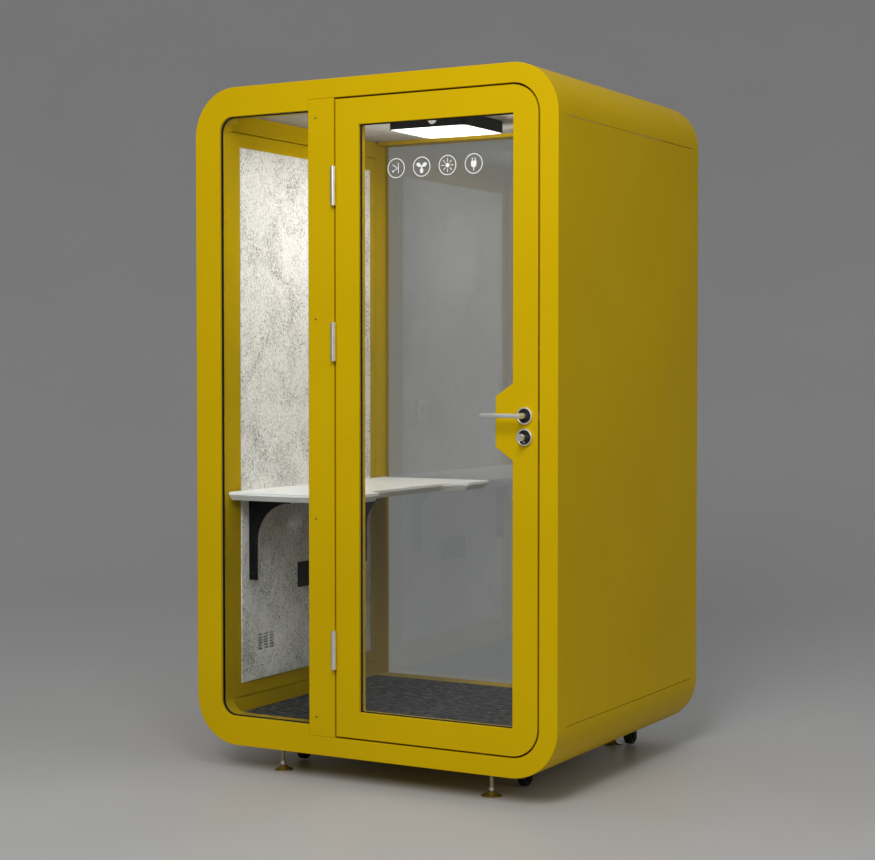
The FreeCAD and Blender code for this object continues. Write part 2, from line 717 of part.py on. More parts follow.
y_pane0 = y_front + glass_set
y_pane1 = y_pane0 + 2 * lip_t + glass_t
inner_pane = door_pane.cut(pad_shape(gasket_t, y_pane0, y_pane1))
sight = gasket_t + gasket_lip
rubber = grown(pane_x0, pane_x1, pane_z0, pane_z1, 0, y_pane0, y_pane1)
rubber = rubber.cut(pad_shape(0.0, y_pane0, y_pane1))
clear_view = grown(pane_x0, pane_x1, pane_z0, pane_z1, -sight, y_pane0, y_pane1)
rubber = rubber.cut(clear_view.cut(pad_shape(sight, y_pane0, y_pane1)))
add("door_leaf", leaf)
add("door_glass", inner_pane)
add("door_gasket", rubber.cut(inner_pane))

seal_fit = 0.3
seal_in = 2.0
seal_w = 14.0
seal_y0 = y_leaf_rear + seal_fit
seal = grown(mullion_x1, opening_x1, opening_z0, opening_z1, -seal_in, seal_y0, y_stop,
             0.0, opening_r)
seal = seal.cut(grown(mullion_x1, opening_x1, opening_z0, opening_z1, -seal_in - seal_w,
                      seal_y0, y_stop, 0.0, opening_r))
add("door_seal", seal)

# ---- hinges ----------------------------
def hinge_leaf(z0, half, side):
    """One leaf: its plate in the gap and its half of the knuckle.

    half is 0 for the lower knuckle and 1 for the upper; side is -1 on the
    mullion and 1 on the door.
    """
    x_a = hinge_x + side * door_gap / 2
    x_b = x_a - side * hinge_leaf_t
    plate_y = y_front + 1.5
    plate = block(min(x_a, x_b), max(x_a, x_b), plate_y, plate_y + hinge_leaf_d,
                  z0, z0 + hinge_len)
    long = (hinge_len - knuckle_gap) / 2
    k0 = z0 + half * (long + knuckle_gap)
    neck = block(min(x_a, x_b), max(x_a, x_b), hinge_y + hinge_pin_r + 1, plate_y + 1,
                 k0, k0 + long)
    knuckle = rod(hinge_r, (hinge_x, hinge_y, k0), (0, 0, 1), long)
    body = plate.fuse(neck).fuse(knuckle)
    if half:
        return body.cut(rod(hinge_pin_r + run_fit, (hinge_x, hinge_y, k0 - 1), (0, 0, 1),
                            long - 4)).removeSplitter()
    pin = rod(hinge_pin_r, (hinge_x, hinge_y, k0 + 1), (0, 0, 1), 2 * long - 8)
    return body.fuse(pin).removeSplitter()


lower = [hinge_leaf(z - hinge_len / 2, 0, -1) for z in hinge_zs]
upper = [hinge_leaf(z - hinge_len / 2, 1, 1) for z in hinge_zs]
add("hinge_frame_leaves", *lower)
add("hinge_door_leaves", *upper)

# ---- lock, levers and thumb turn ----------------------------
case = block(leaf_x1 - face_t - case_w, leaf_x1 - face_t, y_leaf_mid - case_t / 2,
             y_leaf_mid + case_t / 2, face_z0 + (face_h - case_h) / 2,
             face_z0 + (face_h + case_h) / 2)
case = case.fuse(block(leaf_x1 - face_t, leaf_x1, y_leaf_mid - face_w / 2,
                       y_leaf_mid + face_w / 2, face_z0, face_z0 + face_h))
latch_x0 = lock_x + spindle_r + latch_throw + 4.0
bolt_x0 = lock_x + turn_spindle_r + 10.0
case = case.cut(bolt_slot(latch_x0 - latch_throw - 1, leaf_x1 + 1, lever_z, latch_w, latch_h,
                          slot_fit))
case = case.cut(bolt_slot(bolt_x0 - 1, leaf_x1 + 1, lock_z, bolt_w, bolt_h, slot_fit))
case = case.cut(rod(spindle_r + run_fit, (lock_x, y_front, lever_z), (0, 1, 0), door_t))
case = case.cut(rod(turn_spindle_r + run_fit, (lock_x, y_front, lock_z), (0, 1, 0), door_t))
add("lock_case", case)

latch = bolt_slot(latch_x0, leaf_x1 + latch_throw, lever_z, latch_w, latch_h, 0.0)
nose_x = leaf_x1 + latch_throw
half_latch = latch_w / 2
slope = Part.makePolygon([V(nose_x, y_leaf_mid + half_latch, 0), V(nose_x, y_leaf_mid, 0),
                          V(nose_x - latch_throw + 3, y_leaf_mid + half_latch, 0),
                          V(nose_x, y_leaf_mid + half_latch, 0)])
latch_bevel = Part.Face(slope).extrude(V(0, 0, z_top))
add("latch_bolt", latch.cut(latch_bevel))
add("deadbolt", bolt_slot(bolt_x0, leaf_x1 - 0.5, lock_z, bolt_w, bolt_h, 0.0))

roses = []
for z, r in ((lever_z, spindle_r), (lock_z, turn_spindle_r)):
    for y0 in (y_front - rose_t, y_leaf_rear):
        plate = rod(rose_r, (lock_x, y0, z), (0, 1, 0), rose_t)
        rims = [e for e in plate.Edges if len(e.Vertexes) == 1]
        outside = max(rims, key=lambda e: abs(e.CenterOfMass.y - y_leaf_mid))
        plate = plate.makeFillet(2.0, [outside])
        if z == lock_z and y0 < y_front:
            plate = plate.fuse(rod(release_r, (lock_x, y0 - 1, z - release_drop), (0, 1, 0), 3))
        roses.append(plate.cut(rod(r + 0.6, (lock_x, y0 - 1, z), (0, 1, 0), rose_t + 2)))
add("rose_plates", *roses)

rose_gap = 0.5


def lever(face_y, out):
    """A round-bar lever on its neck; out is -1 outside and 1 inside."""
    bar_y = face_y + out * lever_stand
    neck_y = face_y + out * (rose_t + rose_gap)
    neck = rod(lever_neck_r, (lock_x, neck_y, lever_z), (0, out, 0), abs(bar_y - neck_y))
    bar = rod(lever_r, (lock_x + lever_r, bar_y, lever_z), (-1, 0, 0), lever_len + lever_r)
    tip = Part.makeSphere(lever_r, V(lock_x - lever_len, bar_y, lever_z))
    return neck.fuse(bar).fuse(tip)


outer_neck_y = y_front - rose_t - rose_gap
inner_neck_y = y_leaf_rear + rose_t + rose_gap
spindle = rod(spindle_r, (lock_x, outer_neck_y - 5, lever_z), (0, 1, 0),
              inner_neck_y + socket_deep - outer_neck_y + 5)
add("outer_lever", lever(y_front, -1).fuse(spindle).removeSplitter())
socket_hole = rod(spindle_r + press_fit, (lock_x, inner_neck_y - 1, lever_z), (0, 1, 0),
                  1 + socket_deep + 0.5)
add("inner_lever", lever(y_leaf_rear, 1).cut(socket_hole))

turn_out = rod(turn_neck_r, (lock_x, outer_neck_y - turn_neck, lock_z), (0, 1, 0), turn_neck)
turn_out = turn_out.fuse(rod(turn_r, (lock_x, outer_neck_y - turn_neck - turn_head, lock_z),
                             (0, 1, 0), turn_head))
turn_shaft = rod(turn_spindle_r, (lock_x, outer_neck_y - 1, lock_z), (0, 1, 0),
                 1 + inner_neck_y - outer_neck_y + turn_socket_deep - 0.5)
turn_in = rod(turn_hub_r, (lock_x, inner_neck_y, lock_z), (0, 1, 0), turn_hub)
thumb_y = inner_neck_y + turn_hub
thumb = block(lock_x - thumb_t / 2, lock_x + thumb_t / 2, thumb_y, thumb_y + thumb_out,
              lock_z - thumb_h / 2, lock_z + thumb_h / 2)
turn_hole = rod(turn_spindle_r + press_fit, (lock_x, inner_neck_y - 1, lock_z), (0, 1, 0),
                1 + turn_socket_deep)
add("turn_knobs", turn_out.fuse(turn_shaft), turn_in.fuse(thumb).cut(turn_hole))

# ---- desk ----------------------------
desk_x0 = felt_face_l
desk_x1 = wall_l + desk_deep
window_inner = y_front + glass_set + 2 * lip_t + glass_t
desk_y0 = window_inner + desk_front_gap
desk_y1 = y_shelf - desk_rear_gap
desk_mid = (desk_y0 + desk_y1) / 2 + scoop_back
scoop_a = desk_mid - scoop_len / 2
scoop_b = desk_mid + scoop_len / 2


def desk_plate(inset, z0, z1):
    """The desk's outline, with its free edges inset."""
    x1 = desk_x1 - inset
    jamb_x = window_x0 + 1
    notch_x = window_x1 - desk_notch_gap - inset
    notch_y = y_in_front + desk_notch_gap + inset
    points = [(desk_x0, y_in_front), (jamb_x, y_in_front), (jamb_x, desk_y0 + inset),
              (notch_x, desk_y0 + inset), (notch_x, notch_y), (x1, notch_y),
              (x1, scoop_a - scoop_slope), (x1 - scoop_in, scoop_a), (x1 - scoop_in, scoop_b),
              (x1, scoop_b + scoop_slope), (x1, desk_y1 - inset), (desk_x0, desk_y1 - inset)]
    radii = [0, 0, 0, 8, 0, desk_corner_r, 14, 40, 40, 14, desk_corner_r, 0]
    return rounded([(x, y, z0) for x, y in points], radii)


edge_t = 9.0
top_wire = desk_plate(0, desk_z - edge_t, desk_z)
desk = Part.Face(top_wire).extrude(V(0, 0, edge_t))
under = Part.makeLoft([desk_plate(desk_bevel, desk_z - desk_t, desk_z),
                       desk_plate(0.0, desk_z - edge_t, desk_z)], True, True)
desk = desk.fuse(under).removeSplitter()
slot_x0 = desk_x0 + cable_slot_in
slot_x1 = slot_x0 + cable_slot_w
slot_y0 = (desk_y0 + desk_y1) / 2 - cable_slot_back
slot_y1 = slot_y0 + cable_slot_len
slot = lying([(slot_x0, slot_y0), (slot_x1, slot_y0), (slot_x1, slot_y1), (slot_x0, slot_y1)],
             [cable_slot_w / 2 - 0.5] * 4, desk_z - desk_t - 1, desk_z + 1)
add("desk_top", desk.cut(slot))

bracket_z1 = desk_z - desk_t


def bracket(y0):
    """Gusset bracket: a leg on the wall, an arm under the desk, a concave web."""
    x0 = felt_face_l
    leg = x0 + bracket_leg
    tip = x0 + bracket_arm
    low = bracket_z1 - bracket_h
    arm_low = bracket_z1 - bracket_tip
    arc_r = tip - leg
    drop = arm_low - arc_r
    arc_mid = V(leg + arc_r * (1 - math.cos(math.pi / 4)), y0,
                drop + arc_r * math.sin(math.pi / 4))
    edges = [Part.LineSegment(V(x0, y0, low), V(leg, y0, low)),
             Part.LineSegment(V(leg, y0, low), V(leg, y0, drop)),
             Part.Arc(V(leg, y0, drop), arc_mid, V(tip, y0, arm_low)),
             Part.LineSegment(V(tip, y0, arm_low), V(tip, y0, bracket_z1)),
             Part.LineSegment(V(tip, y0, bracket_z1), V(x0, y0, bracket_z1)),
             Part.LineSegment(V(x0, y0, bracket_z1), V(x0, y0, low))]
    face = Part.Face(Part.Wire([e.toShape() for e in edges]))
    return face.extrude(V(0, bracket_t, 0))


bracket_y = y_front + bracket_front
add("desk_brackets", bracket(bracket_y), bracket(bracket_y + bracket_pitch))

# ---- lamp, sensor and fan ----------------------------
def lamp_plate(inset, z0, z1):
    half_w = lamp_w / 2 - inset
    half_d = lamp_d / 2 - inset
    points = [(lamp_x - half_w, lamp_y - half_d), (lamp_x + half_w, lamp_y - half_d),
              (lamp_x + half_w, lamp_y + half_d), (lamp_x - half_w, lamp_y + half_d)]
    return lying(points, [lamp_r - inset] * 4, z0, z1)


lamp_z0 = ceiling_z - lamp_h
housing = lamp_plate(0, lamp_z0, ceiling_z).cut(lamp_plate(lamp_wall, lamp_z0,
                                                           ceiling_z - lamp_wall))
sensor_y = lamp_y - lamp_d / 2
sensor_z = ceiling_z - sensor_z_drop
sensor_neck_r = 4.0
housing = housing.cut(rod(sensor_neck_r, (sensor_x, sensor_y - 1, sensor_z), (0, 1, 0), 10))
add("lamp_housing", housing)
add("lamp_diffuser", lamp_plate(lamp_wall + 0.3, lamp_z0, lamp_z0 + diffuser_t))
dome = Part.makeSphere(sensor_r, V(sensor_x, sensor_y, sensor_z))
dome = dome.common(block(sensor_x - 20, sensor_x + 20, sensor_y - 20, sensor_y,
                         sensor_z - 20, sensor_z + 20))
dome = dome.fuse(rod(sensor_neck_r - 0.1, (sensor_x, sensor_y, sensor_z), (0, 1, 0), 8))
add("motion_sensor", dome)

fan_z0 = tray_top
fan_half = fan_size / 2
fan_box = block(fan_x - fan_half, fan_x + fan_half, fan_y - fan_half, fan_y + fan_half,
                fan_z0, fan_z0 + fan_t)
fan_box = fan_box.cut(rod(fan_bore_r, (fan_x, fan_y, fan_z0 - 1), (0, 0, 1), fan_t + 2))
spoke_w = 8.0
spoke_t = 4.0
spoke_z = fan_z0 + fan_t - spoke_t
reach = fan_bore_r + 1
spokes = block(fan_x - spoke_w / 2, fan_x + spoke_w / 2, fan_y - reach, fan_y + reach,
               spoke_z, spoke_z + spoke_t)
spokes = spokes.fuse(block(fan_x - reach, fan_x + reach, fan_y - spoke_w / 2,
                           fan_y + spoke_w / 2, spoke_z, spoke_z + spoke_t))
spokes = spokes.fuse(rod(hub_r, (fan_x, fan_y, spoke_z), (0, 0, 1), spoke_t))
shaft_r = 3.0
spokes = spokes.fuse(rod(shaft_r, (fan_x, fan_y, fan_z0 + 8), (0, 0, 1), fan_t - 10))
add("fan_housing", fan_box.fuse(spokes).removeSplitter())
blade_z0 = fan_z0 + 6
blade_h = 22.0
impeller = rod(hub_r, (fan_x, fan_y, blade_z0), (0, 0, 1), blade_h)
for i in range(blade_n):
    blade = block(hub_r - 3, impeller_r, -1.2, 1.2, -blade_h * 0.62, blade_h * 0.62)
    blade.rotate(V(0, 0, 0), V(1, 0, 0), 38)
    blade.rotate(V(0, 0, 0), V(0, 0, 1), 360.0 / blade_n * i)
    blade.translate(V(fan_x, fan_y, blade_z0 + blade_h / 2))
    impeller = impeller.fuse(blade)
impeller = impeller.cut(rod(shaft_r + run_fit, (fan_x, fan_y, fan_z0), (0, 0, 1), fan_t))
add("fan_impeller", impeller)

# ---- electrics ----------------------------
socket_x = felt_face_l
plate = block(socket_x, socket_x + socket_t, socket_y - socket_w / 2, socket_y + socket_w / 2,
              socket_z - socket_h / 2, socket_z + socket_h / 2)
add("socket_panel", plate)
switch = block(socket_x, socket_x + switch_t, switch_y - switch_w / 2, switch_y + switch_w / 2,
               switch_z - switch_w / 2, switch_z + switch_w / 2)
knob_shaft_r = 3.0
switch = switch.cut(rod(knob_shaft_r + run_fit, (socket_x + 2, switch_y, switch_z), (1, 0, 0), 20))
add("switch_plate", switch)
knob_x0 = socket_x + switch_t + 0.4
knob = rod(knob_r, (knob_x0, switch_y, switch_z), (1, 0, 0), knob_len)
knob = knob.fuse(block(knob_x0 + knob_len, knob_x0 + knob_len + 4, switch_y - 1.5,
                       switch_y + 1.5, switch_z, switch_z + knob_r - 1))
knob = knob.fuse(rod(knob_shaft_r, (socket_x + 2.5, switch_y, switch_z), (1, 0, 0), switch_t))
add("dimmer_knob", knob)

inlet_x = x_right - corner_r - inlet_in
inlet_z = z_top - rear_border / 2
inlet = block(inlet_x - inlet_w / 2, inlet_x + inlet_w / 2, y_rear, y_rear + inlet_out,
              inlet_z - inlet_h / 2, inlet_z + inlet_h / 2)
add("power_inlet", inlet)

# ---- screws ----------------------------
screws = []
head_r = 3.0
head_t = 1.0
screw_in = 29.0        # window edge of the mullion to its screws
screw_end = 125.0      # top and bottom of the body to the last mullion screws
post_low = 173.0       # underside of the body to the lowest post screw
post_high = 645.0      # top of the body to the highest post screw
front_screw_in = 15.0  # free edge of the front lining to its screws
rear_screw_in = 21.0   # free edge of the rear lining to its screws
mullion_screw_x = window_x1 + screw_in
for k in range(4):
    z = z_low + screw_end + k * (body_h - 2 * screw_end) / 3
    screws.append(rod(head_r, (mullion_screw_x, y_front - head_t, z), (0, 1, 0), head_t))
for k in range(4):
    z = z_low + post_low + k * (body_h - post_low - post_high) / 3
    for side in (-1, 1):
        screws.append(rod(head_r, (side * wall_r, y_in_rear + rear_screw_in, z), (-side, 0, 0),
                          head_t))
    screws.append(rod(head_r, (window_x0, y_in_front - front_screw_in, z), (1, 0, 0), head_t))
for y0 in (bracket_y, bracket_y + bracket_pitch):
    for z in (bracket_z1 - bracket_h + 25, bracket_z1 - 40):
        screws.append(rod(head_r, (felt_face_l + bracket_leg / 2, y0 - head_t, z), (0, 1, 0),
                          head_t))
add("frame_screws", *screws)

for name, shape in nodes.items():
    shape.exportStep("parts/%s.step" % name)
print(len(nodes), "nodes")
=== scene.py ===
import math

import bmesh
import bpy
from mathutils import Matrix, Vector, noise


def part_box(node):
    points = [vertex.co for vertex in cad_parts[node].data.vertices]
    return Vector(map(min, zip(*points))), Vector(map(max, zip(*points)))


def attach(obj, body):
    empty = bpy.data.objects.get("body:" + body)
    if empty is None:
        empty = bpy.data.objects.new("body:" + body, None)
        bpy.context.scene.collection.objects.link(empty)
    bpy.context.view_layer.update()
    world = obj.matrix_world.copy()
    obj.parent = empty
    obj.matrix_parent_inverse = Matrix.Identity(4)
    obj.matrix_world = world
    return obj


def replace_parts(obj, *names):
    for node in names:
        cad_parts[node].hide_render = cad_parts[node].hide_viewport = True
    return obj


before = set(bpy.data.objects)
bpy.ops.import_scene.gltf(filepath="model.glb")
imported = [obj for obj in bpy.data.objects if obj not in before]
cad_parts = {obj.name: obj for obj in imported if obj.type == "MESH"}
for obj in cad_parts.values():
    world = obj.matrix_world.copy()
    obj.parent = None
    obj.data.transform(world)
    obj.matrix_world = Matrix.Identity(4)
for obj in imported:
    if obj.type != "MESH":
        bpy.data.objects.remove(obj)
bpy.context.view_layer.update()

# ---- painted steel body ------------------------------------------------------
# The rings, shells, panels and door are folded sheet steel, powder coated in one
# satin yellow. They are screwed and clinched together behind the lining.


def new_finish(name, metallic=0.0, specular=0.5):
    """An empty finish: its material, node tree, shader and object coordinates."""
    finish = bpy.data.materials.new(name)
    finish.use_nodes = True
    tree = finish.node_tree
    shader = tree.nodes["Principled BSDF"]
    shader.inputs["Metallic"].default_value = metallic
    shader.inputs["Specular IOR Level"].default_value = specular
    place = tree.nodes.new("ShaderNodeTexCoord").outputs["Object"]
    return finish, tree, shader, place


def mottle(tree, place, scale, stretch=(1.0, 1.0, 1.0), turn=(0.0, 0.0, 0.0), detail=5.0,
           wander=0.0):
    """A cloudy pattern, stretched and turned to suit the way the material lies."""
    lay = tree.nodes.new("ShaderNodeMapping")
    lay.inputs["Scale"].default_value = stretch
    lay.inputs["Rotation"].default_value = turn
    tree.links.new(place, lay.inputs["Vector"])
    cloud = tree.nodes.new("ShaderNodeTexNoise")
    cloud.inputs["Scale"].default_value = scale
    cloud.inputs["Detail"].default_value = detail
    cloud.inputs["Distortion"].default_value = wander
    tree.links.new(lay.outputs["Vector"], cloud.inputs["Vector"])
    return cloud.outputs["Fac"]


def shades(tree, amount, *stops):
    """Colours picked along a pattern; each stop is (where, red, green, blue)."""
    ramp = tree.nodes.new("ShaderNodeValToRGB")
    marks = ramp.color_ramp.elements
    while len(marks) < len(stops):
        marks.new(0.5)
    for mark, (where, red, green, blue) in zip(marks, stops):
        mark.position = where
        mark.color = (red, green, blue, 1.0)
    tree.links.new(amount, ramp.inputs["Fac"])
    return ramp.outputs["Color"]


def spread(tree, amount, low, high, start=0.3, stop=0.7):
    """A number between low and high, following a pattern."""
    scale = tree.nodes.new("ShaderNodeMapRange")
    scale.inputs["From Min"].default_value = start
    scale.inputs["From Max"].default_value = stop
    scale.inputs["To Min"].default_value = low
    scale.inputs["To Max"].default_value = high
    tree.links.new(amount, scale.inputs["Value"])
    return scale.outputs["Result"]


def relief(tree, shader, heights):
    """Raise the surface by each pattern in turn; each is (pattern, depth in metres)."""
    under = None
    for height, depth in heights:
        bump = tree.nodes.new("ShaderNodeBump")
        bump.inputs["Distance"].default_value = depth
        tree.links.new(height, bump.inputs["Height"])
        if under:
            tree.links.new(under, bump.inputs["Normal"])
        under = bump.outputs["Normal"]
    tree.links.new(under, shader.inputs["Normal"])


def inside_only(tree, place, amount, low, high):
    """A number that is 1 outside a box and another amount within it."""
    parts = tree.nodes.new("ShaderNodeSeparateXYZ")
    tree.links.new(place, parts.inputs["Vector"])
    held = None
    for side in range(3):
        near = tree.nodes.new("ShaderNodeMath")
        near.operation = "COMPARE"
        near.inputs[1].default_value = (low[side] + high[side]) / 2
        near.inputs[2].default_value = (high[side] - low[side]) / 2
        tree.links.new(parts.outputs[side], near.inputs[0])
        if held:
            both = tree.nodes.new("ShaderNodeMath")
            both.operation = "MULTIPLY"
            tree.links.new(held, both.inputs[0])
            tree.links.new(near.outputs[0], both.inputs[1])
            held = both.outputs[0]
        else:
            held = near.outputs[0]
    return spread(tree, held, 1.0, amount, 0.0, 1.0)


def powder_coat(name, pale, deep, gloss, lining=None):
    """Satin powder coat: faint drift in the colour, fine orange peel, dull handled patches.

    lining is (amount, low, high): colours are scaled by the amount inside the box, as painted shade for the
    inside of the booth.
    """
    finish, tree, shader, place = new_finish(name, specular=0.08)
    drift = mottle(tree, place, 1.7, detail=6.0)
    colour = shades(tree, drift, (0.25, *deep), (0.75, *pale))
    if lining:
        # inside the box the colour is darkened as painted shade
        shade_scaled = tree.nodes.new("ShaderNodeVectorMath")
        shade_scaled.operation = "SCALE"
        tree.links.new(colour, shade_scaled.inputs[0])
        tree.links.new(inside_only(tree, place, *lining), shade_scaled.inputs["Scale"])
        colour = shade_scaled.outputs["Vector"]
    tree.links.new(colour, shader.inputs["Base Color"])
    shader.inputs["Specular Tint"].default_value = (*(min(1.0, c + 0.25) for c in pale), 1.0)
    wiped = mottle(tree, place, 3.5, stretch=(1.0, 1.0, 0.45), detail=8.0, wander=0.6)
    tree.links.new(spread(tree, wiped, gloss[0], gloss[1]), shader.inputs["Roughness"])
    peel = mottle(tree, place, 420.0, detail=2.0)
    ripple = mottle(tree, place, 6.0, detail=1.0)
    relief(tree, shader, [(ripple, 0.0004), (peel, 0.00006)])
    return finish


def dress(finish, *names):
    """Give CAD nodes their finish."""
    for name in names:
        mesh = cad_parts[name].data
        mesh.materials.clear()
        mesh.materials.append(finish)


yellow = (0.60, 0.40, 0.0020)
deep_yellow = (0.54, 0.355, 0.0016)
satin = (0.40, 0.52)
yellow_coat = powder_coat("yellow_powder_coat", yellow, deep_yellow, satin)
dress(yellow_coat, "roof_shell", "base_shell", "left_outer_panel", "right_outer_panel", "door_leaf")

# painted shade: the lining, and the rings and the mullion from the inner panels out to the glazing, take a
# darker copy of the same yellow where the inside of the booth lies in shade
painted_shade_factor = 0.70
reach_low = Vector((0.03, 0.052, 0.08))
reach_high = Vector((0.03, 0.105, 0.10))
lined_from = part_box("left_inner_panel")[0] - reach_low
lined_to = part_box("right_inner_panel")[1] + reach_high
shaded_ring_coat = powder_coat("yellow_ring_painted_shade_coat", yellow, deep_yellow, satin, (painted_shade_factor, lined_from, lined_to))
dress(shaded_ring_coat, "front_frame", "rear_frame", "mullion_post")
# the inner panels and trays: a darker copy of the same yellow, painted shade for the inside of the booth
shaded_lining_coat = powder_coat("yellow_lining_painted_shade_coat", tuple(painted_shade_factor * c for c in yellow),
                          tuple(painted_shade_factor * c for c in deep_yellow), satin)
dress(shaded_lining_coat, "left_inner_panel", "right_inner_panel", "ceiling_tray", "floor_tray")

# ---- glazing -----------------------------------------------------------------
# The window, door and back panes are 8 mm clear float glass with polished edges,
# held in black rubber channels. The window pane is finished as bloomed glass with
# hardly any glare, and the back pane as one that mirrors more of the lit lining.
bloomed, plain, mirroring = 1.15, 1.48, 1.80


def float_glass(name, index):
    """Clear float glass, wiped dull here and there; a higher index mirrors more."""
    finish, tree, shader, place = new_finish(name, specular=0.5)
    shader.inputs["Transmission Weight"].default_value = 1.0
    shader.inputs["IOR"].default_value = index
    shader.inputs["Base Color"].default_value = (0.955, 0.975, 0.97, 1.0)
    wiping = mottle(tree, place, 5.0, stretch=(1.0, 1.0, 0.3), detail=7.0, wander=1.2)
    tree.links.new(spread(tree, wiping, 0.0, 0.006, 0.45, 0.75), shader.inputs["Roughness"])
    # the lamps light the booth straight through the pane, dimmed by its tint
    through = tree.nodes.new("ShaderNodeBsdfTransparent")
    through.inputs["Color"].default_value = (0.48, 0.50, 0.49, 1.0)
    ray = tree.nodes.new("ShaderNodeLightPath")
    choose = tree.nodes.new("ShaderNodeMixShader")
    tree.links.new(ray.outputs["Is Shadow Ray"], choose.inputs["Fac"])
    tree.links.new(shader.outputs["BSDF"], choose.inputs[1])
    tree.links.new(through.outputs["BSDF"], choose.inputs[2])
    tree.links.new(choose.outputs["Shader"], tree.nodes["Material Output"].inputs["Surface"])
    return finish


dress(float_glass("window_float_glass", bloomed), "window_glass")
dress(float_glass("door_float_glass", plain), "door_glass")
dress(float_glass("back_float_glass", mirroring), "rear_glass")


def rubber(name):
    """Black extruded rubber: a dry, slightly greyed skin with a fine draw along it."""
    finish, tree, shader, place = new_finish(name, specular=0.3)
    bloom = mottle(tree, place, 30.0, detail=6.0)
    tree.links.new(shades(tree, bloom, (0.3, 0.010, 0.010, 0.011), (0.8, 0.028, 0.028, 0.029)),
                   shader.inputs["Base Color"])
    tree.links.new(spread(tree, bloom, 0.55, 0.75), shader.inputs["Roughness"])
    relief(tree, shader, [(mottle(tree, place, 900.0, detail=2.0), 0.00005)])
    return finish


black_rubber = rubber("black_rubber")
dress(black_rubber, "glazing_gaskets", "door_gasket", "door_seal")

# ---- felt boards -------------------------------------------------------------
# The inner walls carry boards of pressed wool-look felt, 9 mm thick, and the
# ceiling one of 8 mm. They are glued to the steel, with softly pressed edges.


def pressed_felt(name, pale, middle, dark, run=(0.9, 0.3, 0.0), stretch=(1.0, 1.0, 0.7)):
    """Pressed felt: curly pale and dark fibres matted into patches, with a soft sheen."""
    finish, tree, shader, place = new_finish(name, specular=0.1)
    shader.inputs["Sheen Weight"].default_value = 0.15
    shader.inputs["Sheen Roughness"].default_value = 0.6
    patches = mottle(tree, place, 7.0, (1.0, 1.0, 0.8), run, detail=4.0, wander=0.8)
    curls = mottle(tree, place, 95.0, stretch, run, detail=10.0, wander=2.6)
    patch_share = 0.28
    clumps = tree.nodes.new("ShaderNodeMath")
    clumps.operation = "MULTIPLY_ADD"
    clumps.inputs[1].default_value = patch_share
    tree.links.new(patches, clumps.inputs[0])
    share = tree.nodes.new("ShaderNodeMath")
    share.operation = "MULTIPLY"
    share.inputs[1].default_value = 1.0 - patch_share
    tree.links.new(curls, share.inputs[0])
    tree.links.new(share.outputs[0], clumps.inputs[2])
    tree.links.new(shades(tree, clumps.outputs[0], (0.38, *dark), (0.47, *middle), (0.56, *pale)),
                   shader.inputs["Base Color"])
    tree.links.new(spread(tree, curls, 0.82, 0.98), shader.inputs["Roughness"])
    relief(tree, shader, [(patches, 0.0010), (curls, 0.0030)])
    return finish


def copy_of(name):
    """A CAD node's shape with its loose triangles joined up again."""
    shape = bmesh.new()
    shape.from_mesh(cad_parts[name].data)
    bmesh.ops.remove_doubles(shape, verts=shape.verts, dist=1e-5)
    bmesh.ops.dissolve_limit(shape, angle_limit=math.radians(1.0), verts=shape.verts, edges=shape.edges)
    return shape


def finished(shape, name, body, slot, *finishes, smooth=True):
    """Turn a shape into a piece: its mesh, finishes and body. The slot is not used."""
    mesh = bpy.data.meshes.new(name)
    shape.to_mesh(mesh)
    shape.free()
    for finish in finishes:
        mesh.materials.append(finish)
    piece = bpy.data.objects.new(name, mesh)
    bpy.context.scene.collection.objects.link(piece)
    if smooth:
        mesh.shade_smooth()
        mesh.set_sharp_from_angle(angle=math.radians(35.0))
    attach(piece, body)
    return piece


def soften(shape, side, level, radius, steps=3):
    """Round the edges of a board where it ends at a level along one axis."""
    rim = [e for e in shape.edges
           if all(abs(v.co[side] - level) < 1e-5 for v in e.verts)
           and len(e.link_faces) == 2 and e.calc_face_angle(0.0) > 1.0]
    bmesh.ops.bevel(shape, geom=rim, offset=radius, affect="EDGES", segments=steps,
                    profile=0.5, material=-1, clamp_overlap=True)


felt_edge_r = 0.0025
wall_felt = pressed_felt("grey_wall_felt", (0.80, 0.775, 0.735), (0.60, 0.58, 0.545),
                         (0.24, 0.23, 0.215))
top_felt = pressed_felt("ceiling_felt", (0.56, 0.53, 0.485), (0.47, 0.44, 0.40), (0.33, 0.305, 0.27),
                        run=(0.0, 0.0, 0.0), stretch=(0.12, 1.0, 1.0))
for board, level, felt, kind in (
    ("left_felt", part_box("left_felt")[1], wall_felt, "grey_felt"),
    ("right_felt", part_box("right_felt")[0], wall_felt, "grey_felt"),
    ("ceiling_panel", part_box("ceiling_panel")[0], top_felt, "ceiling_felt"),
):
    side = 2 if board == "ceiling_panel" else 0
    shape = copy_of(board)
    soften(shape, side, level[side], felt_edge_r)
    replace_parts(finished(shape, board + "_board", "root", kind, felt), board)

# ---- carpet ------------------------------------------------------------------
# Charcoal needle-felt carpet, cut to the floor and glued to the board under it.
# Its short pile lies in uneven ribs from side to side.
carpet_finish, tree, shader, place = new_finish("charcoal_carpet", specular=0.1)
shader.inputs["Sheen Weight"].default_value = 0.05
yarn = mottle(tree, place, 90.0, (0.35, 1.0, 1.0), detail=10.0, wander=1.0)
wear = mottle(tree, place, 9.0, detail=6.0)
tree.links.new(shades(tree, yarn, (0.40, 0.001, 0.001, 0.002), (0.50, 0.008, 0.008, 0.009),
                      (0.60, 0.095, 0.097, 0.103)), shader.inputs["Base Color"])
tree.links.new(spread(tree, wear, 0.85, 1.0), shader.inputs["Roughness"])
relief(tree, shader, [(yarn, 0.0022)])
low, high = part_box("carpet")
pile = 0.0016
tufts_across, tufts_deep = 230, 190
rib_across, rib_deep = 60.0, 170.0
shape = bmesh.new()
